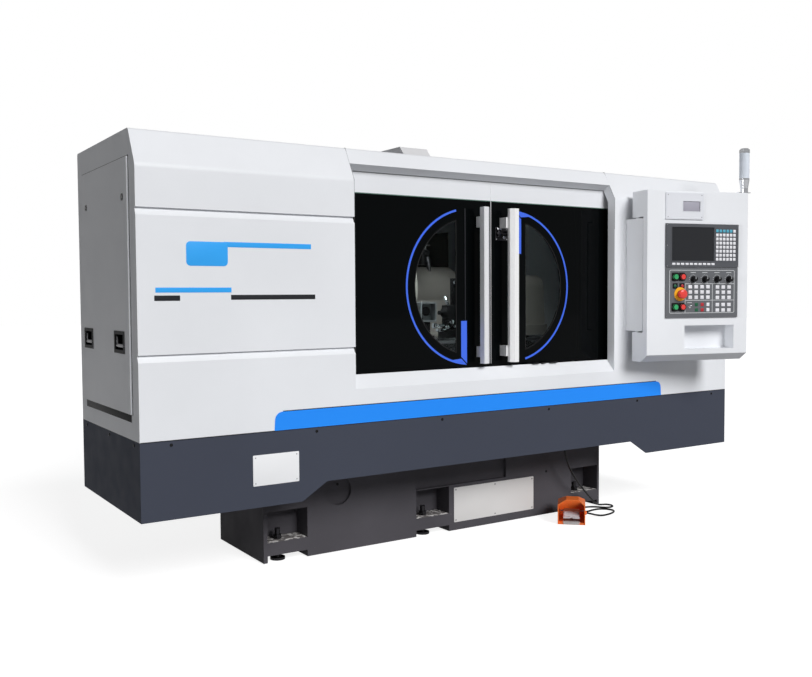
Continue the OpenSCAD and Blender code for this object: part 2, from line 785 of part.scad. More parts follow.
module wheel_guard() {
    wall = 8;
    color(white) at_machine() difference() {
        rod_x(guard_x0, guard_x1, wheel_y, axis_z, guard_r);
        rod_x(guard_x0 + wall, guard_x1 - wall, wheel_y, axis_z, wheel_r + guard_gap);
        // open mouth towards the work
        block([guard_x0 - 1, wheel_y - guard_r - 1, axis_z - guard_r - 1],
              [guard_x1 + 1, wheel_y - 120, axis_z + guard_r - 90]);
        rod_x(guard_x1 - wall - 1, guard_x1 + 1, wheel_y, axis_z, spindle_r + 8);
        rod_x(guard_x0 - 1, guard_x0 + wall + 1, wheel_y, axis_z, 130);
    }
}

module wheel_spindle() {
    flange_r = 105;
    half = wheel_w / 2;
    x0 = wheel_x - half - 46;    // end of the nose
    color(steel) at_machine() translate([x0, wheel_y, axis_z]) rotate([0, 90, 0]) rotate_extrude()
        polygon([[0, 0], [24, 0], [24, 24], [46, 24], [46, 34], [flange_r, 38], [flange_r, 46],
                 [60, 46], [60, 46 + wheel_w], [flange_r, 46 + wheel_w], [flange_r, 56 + wheel_w],
                 [spindle_r + 4, 60 + wheel_w], [spindle_r, 66 + wheel_w], [spindle_r, housing_x1 - x0 + 20],
                 [80, housing_x1 - x0 + 20], [80, housing_x1 - x0 + 70], [0, housing_x1 - x0 + 70]]);
}

module grinding_wheel() {
    half = wheel_w / 2;
    color([0.75, 0.74, 0.7]) at_machine() translate([wheel_x - half, wheel_y, axis_z]) rotate([0, 90, 0])
        rotate_extrude($fn = 96) polygon([[60, 0], [wheel_r - 2, 0], [wheel_r, 2], [wheel_r, wheel_w - 2],
                                 [wheel_r - 2, wheel_w], [60, wheel_w]]);
}

module wheel_motor() {
    motor_y = wheel_y + 325;
    motor_z = rail_z + slide_gap + 110 + 108;
    color(cast_grey) at_machine() {
        rod_x(1530, 1780, motor_y, motor_z, 100);
        rod_x(1500, 1531, motor_y, motor_z, 92);
        block([1570, motor_y - 90, rail_z + slide_gap + 110], [1740, motor_y + 90, motor_z]);
        for (a = [0:20:340])
            translate([0, motor_y, motor_z]) rotate([a, 0, 0]) block([1550, 98, -2], [1760, 106, 2]);
        rod_x(1779, 1850, motor_y, motor_z, 19);
        rod_x(1820, 1870, motor_y, motor_z, 70);
    }
}

// ---- pendant ------------------------------------------------------------------

post_x0 = 2130;
post_w = 45;
post_d = 95;
post_z0 = 822;
post_z1 = 1302;
pin_x = post_x0 + 22;
pin_y = -48;
pendant_z0 = 720;
pendant_z1 = pendant_z0 + pendant_h;
corner = [2119, -130];       // front left corner of the control box
notch_pad = 6;               // room between the post and the box
pendant_wall = 3;

// u runs along the front to the right, y to the back, from the front left corner
module at_pendant() at_machine() translate(corner) rotate([0, 0, -pendant_turn]) children();
pin_u = (pin_x - corner[0]) * cos(pendant_turn) - (pin_y - corner[1]) * sin(pendant_turn);
pin_w = (pin_x - corner[0]) * sin(pendant_turn) + (pin_y - corner[1]) * cos(pendant_turn);
notch_reach = 56;            // the post's corners sweep inside this radius about the pin

recess_u0 = 187;             // open tray below the keys
recess_u1 = 439;
recess_z0 = 742;
recess_z1 = 844;
recess_d = 60;
unit_u0 = 88;                // left edge of the gauge plate, the display unit and the key panel
unit_u1 = 454;
unit_z0 = 1094;
unit_z1 = 1279;
panel_lo = 877;
panel_hi = 1093;
gauge_u1 = 274;
gauge_z0 = 1298;
gauge_z1 = 1409;
plate_t = 5;                 // how far the plates and the unit stand proud
frame_lap = 12;

module pendant_post() {
    color(white) at_machine() difference() {
        union() {
            block([post_x0, -post_d, post_z0], [post_x0 + post_w, 0, post_z1]);
            block([post_x0 - 14, -4, post_z0 + 20], [post_x0 + post_w + 22, 0, post_z1 - 20]);
        }
        translate([pin_x, pin_y, post_z0 - 1])
            cylinder(h = post_z1 - post_z0 + 2, r = hinge_r + run_fit);
    }
}

module pendant_profile(inset = 0) {
    polygon(rounded([[inset, pendant_z0 + inset], [inset, pendant_z1 - inset],
                     [pendant_d - inset, pendant_z1 - inset], [pendant_d - inset, pendant_z0 - 30 + inset],
                     [45, pendant_z0 - 30 + inset]], [3, 3, 3, 3, 3]));
}

module pendant_box() {
    t = pendant_wall;
    color(white) {
        at_pendant() difference() {
            union() {
                difference() {
                    along_x(0, pendant_w) pendant_profile();
                    along_x(t, pendant_w - t) pendant_profile(t);
                }
                // walls of the open tray and of the corner that clears the post
                block([recess_u0 - t, 0.5, recess_z0 - t], [recess_u1 + t, recess_d + t, recess_z1 + t]);
                block([0.5, pin_w - notch_reach - t, post_z0 - notch_pad - 26],
                      [pin_u + notch_reach + t, pendant_d - 0.5, post_z1 + notch_pad + 26]);
            }
            block([recess_u0, -1, recess_z0], [recess_u1, recess_d, recess_z1]);
            block([-1, pin_w - notch_reach, post_z0 - notch_pad],
                  [pin_u + notch_reach, pendant_d + 1, post_z1 + notch_pad]);
            block([unit_u0 + frame_lap, -1, unit_z0 + frame_lap], [unit_u1 - frame_lap, t + 1, unit_z1 - frame_lap]);
            block([unit_u0 + frame_lap, -1, panel_lo + frame_lap], [unit_u1 - frame_lap, t + 1, panel_hi - frame_lap]);
            block([unit_u0 + frame_lap, -1, gauge_z0 + frame_lap], [gauge_u1 - frame_lap, t + 1, gauge_z1 - frame_lap]);
        }
        at_machine() translate([pin_x, pin_y, post_z0 - notch_pad - 20])
            cylinder(h = post_z1 - post_z0 + 2 * notch_pad + 40, r = hinge_r);
    }
}

// round places on the key panel: [u, z, hole radius]
button_hole_r = 8;
button_us = [134, 170];
upper_z = 1053;
lower_z = 924;
stop_at = [160, 979];
knob_us = [225, 284, 346, 407];
knob_z = 1043;
shaft_r = 5;

module control_plates() {
    color([0.42, 0.43, 0.45]) at_pendant() {
        difference() {
            block([unit_u0, -plate_t, panel_lo], [unit_u1, 0, panel_hi]);
            for (u = button_us, z = [upper_z, lower_z]) translate([u, -plate_t - 1, z]) rotate([-90, 0, 0])
                cylinder(h = plate_t + 2, r = button_hole_r + run_fit);
            for (u = knob_us) translate([u, -plate_t - 1, knob_z]) rotate([-90, 0, 0])
                cylinder(h = plate_t + 2, r = shaft_r + run_fit);
            translate([stop_at[0], -plate_t - 1, stop_at[1]]) rotate([-90, 0, 0])
                cylinder(h = plate_t + 2, r = button_hole_r + 3 + run_fit);
        }
        difference() {
            block([unit_u0, -plate_t, gauge_z0], [gauge_u1, 0, gauge_z1]);
            block([172, -plate_t - 1, 1332], [257, -1, 1374]);
        }
    }
}

screen_u0 = 116;
screen_u1 = 327;
screen_z0 = 1121;
screen_z1 = 1264;

module cnc_unit() {
    color([0.12, 0.12, 0.13]) at_pendant() difference() {
        union() {
            block([unit_u0, -plate_t - 3, unit_z0], [unit_u1, 0, unit_z1]);
            block([unit_u0 + frame_lap + 2, -1, unit_z0 + frame_lap + 2],
                  [unit_u1 - frame_lap - 2, 60, unit_z1 - frame_lap - 2]);
        }
        block([screen_u0, -plate_t - 4, screen_z0], [screen_u1, -plate_t, screen_z1]);
    }
}

module screens() {
    color([0.1, 0.13, 0.2]) at_pendant() {
        block([screen_u0 + 0.3, -plate_t - 1.5, screen_z0 + 0.3], [screen_u1 - 0.3, -plate_t, screen_z1 - 0.3]);
        block([172.3, -2, 1332.3], [256.7, -1, 1373.7]);
    }
}

key_w = 13;
module cnc_keys() {
    color([0.75, 0.8, 0.8]) at_pendant() {
        for (i = [0:5], j = [0:7])
            block([337 + i * 17.7, -plate_t - 5, 1122 + j * 17.4], [337 + i * 17.7 + key_w, -plate_t - 3, 1122 + j * 17.4 + key_w]);
        for (i = [0:9])
            block([116 + i * 22, -plate_t - 5, 1102], [116 + i * 22 + 17, -plate_t - 3, 1113]);
        for (i = [0:3], j = [0:2]) panel_key(210 + i * 30, 965 + j * 22.5, 19, 16);
        for (i = [0:2], j = [0:2]) panel_key(349 + i * 30, 963.5 + j * 22.5, 19, 16);
        for (i = [0:2], j = [0:1]) panel_key(349 + i * 30, 909 + j * 23.5, 19, 16);
        for (i = [0:2], j = [0:1]) panel_key(242 + i * 29.3, 911 + j * 22.8, 15, 15);
    }
}
module panel_key(u, z, w, h) block([u - w / 2, -plate_t - 2, z - h / 2], [u + w / 2, -plate_t, z + h / 2]);

lamp_u = 503;
lamp_w = 20;
lens_z0 = 1484;
lens_z1 = 1594;

module at_lamp() at_pendant() translate([lamp_u, lamp_w, 0]) children();

module lamp_body() {
    color(steel) {
        at_pendant() block([lamp_u - 40, 2, pendant_z1], [lamp_u + 20, 40, pendant_z1 + 3]);
        at_lamp() rotate_extrude() polygon([[0, pendant_z1 + 3], [16, pendant_z1 + 3], [16, pendant_z1 + 22],
            [lamp_r, lens_z0 - 8], [lamp_r, lens_z0], [0, lens_z0]]);
        at_lamp() rotate_extrude() polygon([[0, lens_z1], [lamp_r + 0.5, lens_z1], [lamp_r + 0.5, lens_z1 + 14],
            [lamp_r - 6, lens_z1 + 20], [0, lens_z1 + 20]]);
    }
}
module lamp_lens() color([0.85, 0.86, 0.85]) at_lamp() translate([0, 0, lens_z0])
    cylinder(h = lens_z1 - lens_z0, r = lamp_r - 0.5);

// push button: cap in front of the plate on a stem through it
module push_button(u, z, hue) {
    travel = 4;
    color(hue) at_pendant() translate([u, -plate_t - travel - 0.4, z]) rotate([-90, 0, 0]) {
        translate([0, 0, -6]) cylinder(h = 6, r = 13);
        cylinder(h = plate_t + travel + 6, r = button_hole_r);
    }
}
module green_button_upper() push_button(button_us[0], upper_z, [0.05, 0.5, 0.2]);
module red_button_upper() push_button(button_us[1], upper_z, [0.8, 0.08, 0.05]);
module green_button_lower() push_button(button_us[0], lower_z, [0.05, 0.5, 0.2]);
module red_button_lower() push_button(button_us[1], lower_z, [0.8, 0.08, 0.05]);

module e_stop() {
    travel = 6;
    color([0.8, 0.06, 0.04]) at_pendant() translate([stop_at[0], -plate_t - travel - 0.4, stop_at[1]])
        rotate([-90, 0, 0]) rotate_extrude()
            polygon([[0, -24], [12, -23], [18, -20], [20, -16], [20, -11], [16, -8], [16, 0],
                     [button_hole_r + 3, 0], [button_hole_r + 3, plate_t + travel + 6], [0, plate_t + travel + 6]]);
}

module knob(u) {
    color(black) at_pendant() translate([u, -plate_t - 0.4, knob_z]) rotate([-90, 0, 0]) difference() {
        union() {
            translate([0, 0, -7]) cylinder(h = 7, r = 13);
            translate([0, 0, -20]) cylinder(h = 14, r = 10);
            cylinder(h = plate_t + 6, r = shaft_r);
        }
        translate([-1, -11, -21]) cube([2, 8, 3]);
    }
}
module knob_1() knob(knob_us[0]);
module knob_2() knob(knob_us[1]);
module knob_3() knob(knob_us[2]);
module knob_4() knob(knob_us[3]);

// ---- foot switch and its cable ------------------------------------------------

foot_at = [1805, 76];        // front left corner on the floor
foot_turn = 43.5;
foot_wall = 4;
treadle_u0 = 24;
treadle_u1 = 92;
treadle_pin_w = 118;
treadle_pin_z = 34;

module at_foot() at_machine() translate(foot_at) rotate([0, 0, -foot_turn]) children();

// cast hood with chamfered shoulders, open to the front, on a flat base
module foot_switch_guard() {
    outer = [[0, 0], [0, foot_h - 24], [36, foot_h], [foot_w - 28, foot_h], [foot_w, foot_h - 24], [foot_w, 0]];
    t = foot_wall;
    color([0.85, 0.35, 0.1]) at_foot() difference() {
        union() {
            along_y(0, foot_l) difference() {
                polygon(outer);
                polygon([[t, -1], [t, foot_h - 26], [37, foot_h - t], [foot_w - 29, foot_h - t],
                         [foot_w - t, foot_h - 26], [foot_w - t, -1]]);
            }
            along_y(foot_l - 8, foot_l) polygon(outer);
            block([t - 1, 2, 0], [foot_w - t + 1, foot_l - 1, 8]);
            // bush where the cable goes in
            rod_x(foot_w - t, foot_w + 7.5, foot_l - 15, 18, 8);
        }
        // the hood falls to the back
        translate([0, 70, foot_h]) rotate([-24, 0, 0]) block([-1, 0, 0], [foot_w + 1, 200, 120]);
        for (u = [-1, foot_w - t - 1]) translate([u, treadle_pin_w, treadle_pin_z]) rotate([0, 90, 0])
            cylinder(h = t + 2, r = 3 + run_fit);
    }
}

// ribbed treadle on a cross pin in the two cheeks
module foot_treadle() {
    color(steel) at_foot() {
        translate([0.3, treadle_pin_w, treadle_pin_z]) rotate([0, 90, 0]) cylinder(h = foot_w - 0.6, r = 3);
        difference() {
            along_x(treadle_u0, treadle_u1) polygon([[8, 25], [8, 31], [64, 43], [treadle_pin_w + 6, 41],
                [treadle_pin_w + 6, 28], [treadle_pin_w - 6, 28], [64, 37], [12, 26]]);
            // notch in the front edge
            block([53, 7, 24], [63, 14, 34]);
        }
        for (v = [18:8:58]) along_x(treadle_u0 + 4, treadle_u1 - 4)
            translate([v, 31 + (v - 12) * 0.214]) square([3, 3]);
    }
}

// points along the cable: out of the gland in the bed, down to the floor, two easy turns
// there, and into the bush in the cheek of the foot switch
gland_x = 1905;
gland_z = 352;
cable_route = [
    [1905, 234, 352], [1905, 205, 352], [1905, 178, 346], [1906, 158, 330], [1908, 147, 305],
    [1913, 142, 275], [1928, 144, 235], [1962, 153, 190], [2010, 167, 141], [2062, 183, 97],
    [2112, 199, 58], [2152, 212, 29], [2184, 222, 11], [2210, 226, 4.2], [2234, 215, 4.2],
    [2242, 194, 4.2], [2232, 172, 4.2], [2208, 164, 4.2], [2184, 174, 4.2], [2164, 198, 4.2],
    [2140, 219, 4.2], [2108, 229, 4.2], [2074, 230, 4.2], [2044, 220, 4.2], [2028, 196, 4.2],
    [2038, 171, 4.2], [2066, 162, 4.2], [2100, 168, 4.2], [2134, 168, 4.2], [2160, 154, 4.2],
    [2174, 131, 4.2], [2171, 107, 4.2], [2152, 88, 4.2], [2124, 76, 4.2], [2092, 70, 4.2],
    [2060, 69, 5], [2030, 76, 10], [2012, 87, 15], [1998, 99, 18]];

cable_sides = 8;
// smooth curve through the route's points, two rings to a stretch
function blend4(a, b, c, d, t) =
    (2 * b + (c - a) * t + (2 * a - 5 * b + 4 * c - d) * t * t + (3 * b - a - 3 * c + d) * t * t * t) / 2;
function route_point(p, i) = p[max(0, min(len(p) - 1, i))];
cable_line = concat(
    [for (i = [0:len(cable_route) - 2], k = [0:1])
        blend4(route_point(cable_route, i - 1), cable_route[i], cable_route[i + 1],
               route_point(cable_route, i + 2), k / 2)],
    [cable_route[len(cable_route) - 1]]);
function direction(p, i) = unit(p[min(i + 1, len(p) - 1)] - p[max(i - 1, 0)]);
// a ring stands square to the cable; its first spoke is carried on from the ring before
function spokes(p, i = 0, last = [1, 0, 0]) = i == len(p) ? []
    : let(d = direction(p, i), s = unit(last - d * (last * d))) concat([s], spokes(p, i + 1, s));

module footswitch_cable() {
    n = cable_sides;
    ends = len(cable_line);
    first = spokes(cable_line);
    rings = [for (i = [0:ends - 1], k = [0:n - 1])
        let(side = cross(direction(cable_line, i), first[i]), a = 360 * k / n)
            cable_line[i] + (first[i] * cos(a) + side * sin(a)) * cable_d / 2];
    color(black) at_machine() polyhedron(rings, concat(
        [[for (k = [0:n - 1]) k]],
        [for (i = [0:ends - 2], k = [0:n - 1]) [i * n + k, (i + 1) * n + k, (i + 1) * n + (k + 1) % n, i * n + (k + 1) % n]],
        [[for (k = [n - 1:-1:0]) (ends - 1) * n + k]]));
}

module cable_gland() {
    color(black) at_machine() translate([gland_x, bed_y0, gland_z]) rotate([90, 0, 0]) difference() {
        union() {
            cylinder(h = 8, r = 14, $fn = 6);
            cylinder(h = 22, r = 10);
        }
        translate([0, 0, 1]) cylinder(h = 22, r = cable_d / 2 + 0.2);
    }
}

bed();
levelling_feet();
skirt();
drip_tray();
left_cover();
top_cover();
apron();
right_cover();
side_panel();
side_trays();
side_bail_front();
side_bail_rear();
blue_stripe();
roof_hood();
rear_cover();
door_rails();
left_door_frame();
left_door_panel();
left_window();
left_arc();
left_handle();
left_carriages();
right_door_frame();
right_door_panel();
right_window();
right_arc();
right_handle();
right_carriages();
pendant_post();
pendant_box();
control_plates();
cnc_unit();
screens();
cnc_keys();
lamp_body();
lamp_lens();
e_stop();
green_button_upper();
red_button_upper();
green_button_lower();
red_button_lower();
knob_1();
knob_2();
knob_3();
knob_4();
table();
workhead();
work_spindle();
tailstock();
quill();
wheelhead();
wheel_guard();
wheel_motor();
wheel_spindle();
grinding_wheel();
foot_switch_guard();
foot_treadle();
footswitch_cable();
cable_gland();
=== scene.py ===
"""Finishes, trim and small fittings for an enclosed cylindrical grinding machine."""

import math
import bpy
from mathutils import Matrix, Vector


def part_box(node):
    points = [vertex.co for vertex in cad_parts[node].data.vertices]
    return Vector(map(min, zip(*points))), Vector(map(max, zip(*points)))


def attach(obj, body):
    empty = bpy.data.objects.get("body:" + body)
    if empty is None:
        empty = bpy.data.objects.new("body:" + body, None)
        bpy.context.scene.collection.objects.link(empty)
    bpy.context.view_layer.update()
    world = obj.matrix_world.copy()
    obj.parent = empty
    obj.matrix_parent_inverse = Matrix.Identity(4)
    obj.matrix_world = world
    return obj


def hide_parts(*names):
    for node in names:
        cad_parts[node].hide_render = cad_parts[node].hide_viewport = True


bl_info = {
    "name": "Cylindrical grinder finishes",
    "version": (1, 0, 0),
    "blender": (4, 5, 0),
    "location": "View3D > Sidebar > Grinder",
    "description": "Dresses the grinder's solid model with finishes, trim and fittings",
    "category": "Object",
}

import bmesh
import bpy
from bpy.props import FloatProperty, FloatVectorProperty, IntProperty, PointerProperty
from mathutils import Matrix, Vector

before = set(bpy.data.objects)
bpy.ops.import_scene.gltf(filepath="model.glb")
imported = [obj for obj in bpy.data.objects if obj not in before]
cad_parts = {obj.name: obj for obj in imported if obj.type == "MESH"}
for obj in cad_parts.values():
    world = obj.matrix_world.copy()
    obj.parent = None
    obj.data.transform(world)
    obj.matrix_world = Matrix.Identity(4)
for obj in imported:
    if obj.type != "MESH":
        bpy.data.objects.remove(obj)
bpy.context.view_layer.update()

# The machine is laid out in millimetres from the floor below its left cover's front left corner.
MM = 0.001
CORNER = Vector((*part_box("left_cover")[0].xy, 0.0))
FLOOR = Matrix.Translation(CORNER) @ Matrix.Scale(MM, 4)


def span(node):
    """Lowest and highest corner of a solid, in the machine's millimetres."""
    return [(corner - CORNER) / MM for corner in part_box(node)]


LEFT_END, BODY_D = span("left_cover")[1].xy
RIGHT_START, BODY_L = (corner.x for corner in span("right_cover"))
DOOR_Y = span("left_door_panel")[0].y
SEAM_X = 1440.0
AXIS_Z = 1013.0
FLUSH = 0.05
PENDANT = FLOOR @ Matrix.Translation((2119, -130, 0)) @ Matrix.Rotation(math.radians(-14.5), 4, "Z")
FOOT = FLOOR @ Matrix.Translation((1805, 76, 0)) @ Matrix.Rotation(math.radians(-43.5), 4, "Z")
LEFT, RIGHT = (-1, 0, 0), (1, 0, 0)
FRONT, BACK = (0, -1, 0), (0, 1, 0)
UP = (0, 0, 1)


# ---- colours and settings ---------------------------------------------------

WHITE = (1.0, 1.0, 1.0, 1.0)


def rgb(red, green, blue):
    """Scene-linear colour of a display colour given from 0 to 255."""
    return tuple(
        c / 12.92 if c <= 0.04045 else ((c + 0.055) / 1.055) ** 2.4
        for c in (red / 255, green / 255, blue / 255)
    )


def colour_prop(name, words, red, green, blue):
    return FloatVectorProperty(
        name=name, description=words, subtype="COLOR", size=3, min=0.0, max=1.0,
        default=rgb(red, green, blue),
    )


class GrinderPaint(bpy.types.PropertyGroup):
    cover: colour_prop("Cover paint", "Powder coat of the covers", 233, 235, 239)
    skirt: colour_prop("Skirt paint", "Powder coat of the skirt", 70, 74, 86)
    bed: colour_prop("Bed paint", "Machine paint on the castings", 80, 78, 83)
    stripe: colour_prop("Stripe", "Film stripe along the sill", 41, 144, 255)
    trim: colour_prop("Trim", "Strips round the windows", 72, 114, 240)
    guard: colour_prop("Foot guard", "Paint of the foot switch's hood", 250, 122, 50)


class GrinderDetails(bpy.types.PropertyGroup):
    screw: FloatProperty(
        name="Screw", description="Radius of a cover screw's head, in millimetres",
        default=5.2, min=2.4, max=8.0)
    cable: FloatProperty(
        name="Cable", description="Outer diameter of the foot switch's cable",
        default=0.008, min=0.004, max=0.012, unit="LENGTH")
    lens_ribs: IntProperty(
        name="Lens ribs", description="Ribs round the signal lamp's lens", default=22, min=8, max=40)


class GrinderStage(bpy.types.PropertyGroup):
    key: FloatProperty(name="Key", description="Strength of the key light", default=2.74, min=0.0)
    sky: FloatProperty(name="Sky", description="Strength of the even light", default=0.09, min=0.0)
    lens: FloatProperty(name="Lens", description="Focal length in millimetres", default=40.7, min=10.0)
    floor: colour_prop("Floor", "Colour of the plain floor", 176, 176, 177)


# ---- finishes ---------------------------------------------------------------

SHEEN_SEED = 3.1
RELIEF_SEED = 7.7


def wire(node, inputs):
    """Fills a node's sockets: an output is linked, and anything else is set as a value."""
    for socket, value in inputs.items():
        if isinstance(value, bpy.types.NodeSocket):
            node.id_data.links.new(value, node.inputs[socket])
        else:
            node.inputs[socket].default_value = value
    return node


def blank_finish(name, colour, roughness, metallic=0.0):
    """A new material with its nodes and its shader, ready for texture nodes."""
    finish = bpy.data.materials.new(name)
    finish.use_nodes = True
    shader = finish.node_tree.nodes["Principled BSDF"]
    wire(shader, {"Base Color": (*colour, 1.0), "Roughness": roughness, "Metallic": metallic})
    return finish, finish.node_tree, shader


def grain(tree, scale, detail=3.0, stretch=(1.0, 1.0, 1.0), seed=0.0):
    """A noise pattern in the object's own metres; scale is in repeats to a metre."""
    place = tree.nodes.new("ShaderNodeTexCoord")
    turn = wire(tree.nodes.new("ShaderNodeMapping"), {
        "Scale": stretch, "Location": (seed, seed * 0.7, seed * 1.3), "Vector": place.outputs["Object"]})
    noise = wire(tree.nodes.new("ShaderNodeTexNoise"), {
        "Scale": scale, "Detail": detail, "Vector": turn.outputs["Vector"]})
    return noise.outputs["Fac"]


def spread(tree, value, low, high, start=0.3, stop=0.7):
    """Maps a pattern's value onto the range from low to high."""
    return wire(tree.nodes.new("ShaderNodeMapRange"), {
        "From Min": start, "From Max": stop, "To Min": low, "To Max": high,
        "Value": value}).outputs["Result"]


def mottle(tree, value, colour, dark, light, start=0.3, stop=0.7):
    """The colour, from a darker to a lighter share of it with a pattern's value."""
    ramp = tree.nodes.new("ShaderNodeValToRGB")
    for element, place, share in zip(ramp.color_ramp.elements, (start, stop), (dark, light)):
        element.position = place
        element.color = (*[min(1.0, c * share) for c in colour], 1.0)
    return wire(ramp, {"Fac": value}).outputs["Color"]


def relief(tree, value, height):
    """Bump of the given height in metres."""
    return wire(tree.nodes.new("ShaderNodeBump"), {
        "Strength": 1.0, "Distance": height, "Height": value}).outputs["Normal"]


def coat(name, colour, roughness, cloud=0.03, peel=0.00006, pores=450.0, mirror=0.3):
    """Paint: faint clouds in the colour, orange peel, and an uneven sheen."""
    finish, tree, shader = blank_finish(name, colour, roughness)
    wire(shader, {
        "Specular IOR Level": mirror,
        "Base Color": mottle(tree, grain(tree, 2.2, 4.0), colour, 1 - cloud, 1 + cloud),
        "Roughness": spread(tree, grain(tree, 14.0, seed=SHEEN_SEED), roughness - 0.06, roughness + 0.06),
        "Normal": relief(tree, grain(tree, pores, 2.0, seed=RELIEF_SEED), peel)})
    return finish


def chipped_coat(name, colour, roughness, bare, size, start):
    """Paint on a rough casting, with dust and bare chips where the pattern is above start."""
    finish, tree, shader = blank_finish(name, colour, roughness)
    blend = tree.nodes.new("ShaderNodeMix")
    blend.data_type = "RGBA"
    factor, paint, chip, result = 0, 6, 7, 2  # the colour sockets of a Mix node
    wire(blend, {
        factor: spread(tree, grain(tree, size, 5.0, seed=2.3), 0.0, 1.0, start, start + 0.04),
        paint: mottle(tree, grain(tree, 2.6, 5.0), colour, 0.86, 1.12),
        chip: (*bare, 1.0)})
    wire(shader, {
        "Specular IOR Level": 0.1,
        "Base Color": blend.outputs[result],
        "Roughness": spread(tree, grain(tree, 11.0, seed=SHEEN_SEED), roughness - 0.08, roughness + 0.1),
        "Normal": relief(tree, grain(tree, 150.0, seed=RELIEF_SEED), 0.00025)})
    return finish


def metal(name, colour, roughness, lay=(1.0, 1.0, 1.0), fine=240.0, depth=0.00002, bright=1.0):
    """Metal with fine marks that an uneven lay stretches; bright below 1 is an anodised skin."""
    finish, tree, shader = blank_finish(name, colour, roughness, bright)
    marks = grain(tree, fine, 4.0, lay)
    wire(shader, {
        "Base Color": mottle(tree, marks, colour, 0.86, 1.06),
        "Roughness": spread(tree, marks, roughness * 0.7, roughness * 1.35),
        "Normal": relief(tree, marks, depth)})
    return finish


def moulded(name, colour, roughness, texture=0.00004, pores=900.0, mirror=0.3):
    """Moulded plastic with a fine spark texture."""
    finish, tree, shader = blank_finish(name, colour, roughness)
    skin = grain(tree, pores, 2.0)
    wire(shader, {
        "Specular IOR Level": mirror,
        "Base Color": mottle(tree, grain(tree, 9.0, seed=1.9), colour, 0.93, 1.07),
        "Roughness": spread(tree, skin, roughness * 0.85, roughness * 1.15),
        "Normal": relief(tree, skin, texture)})
    return finish


def pane(name, colour, roughness, clear, mirror=0.5):
    """Glass: clear runs from 0, backed and opaque, to 1, see-through."""
    finish, tree, shader = blank_finish(name, colour, roughness)
    wire(shader, {
        "Transmission Weight": clear,
        "IOR": 1.1 if clear else 1.48,
        "Specular IOR Level": mirror,
        "Roughness": spread(tree, grain(tree, 5.0, seed=5.5), roughness, roughness + 0.03),
        "Normal": relief(tree, grain(tree, 1.7, 2.0), 0.000004)})
    return finish


def abrasive(name, colour):
    """Bonded grit: sharp pale and dark grains in a rough face."""
    finish, tree, shader = blank_finish(name, colour, 0.9)
    grit = grain(tree, 700.0, 4.0)
    wire(shader, {
        "Base Color": mottle(tree, grit, colour, 0.55, 1.15, 0.38, 0.6),
        "Normal": relief(tree, grit, 0.0004)})
    return finish


def hammered(name, colour, roughness):
    """Hammer-finish paint: small round dimples under a gloss."""
    finish, tree, shader = blank_finish(name, colour, roughness)
    place = tree.nodes.new("ShaderNodeTexCoord")
    cells = wire(tree.nodes.new("ShaderNodeTexVoronoi"), {
        "Scale": 260.0, "Vector": place.outputs["Object"]}).outputs["Distance"]
    wire(shader, {
        "Base Color": mottle(tree, cells, colour, 0.88, 1.08, 0.1, 0.8),
        "Normal": relief(tree, cells, 0.00025)})
    return finish


FINISHES = {}


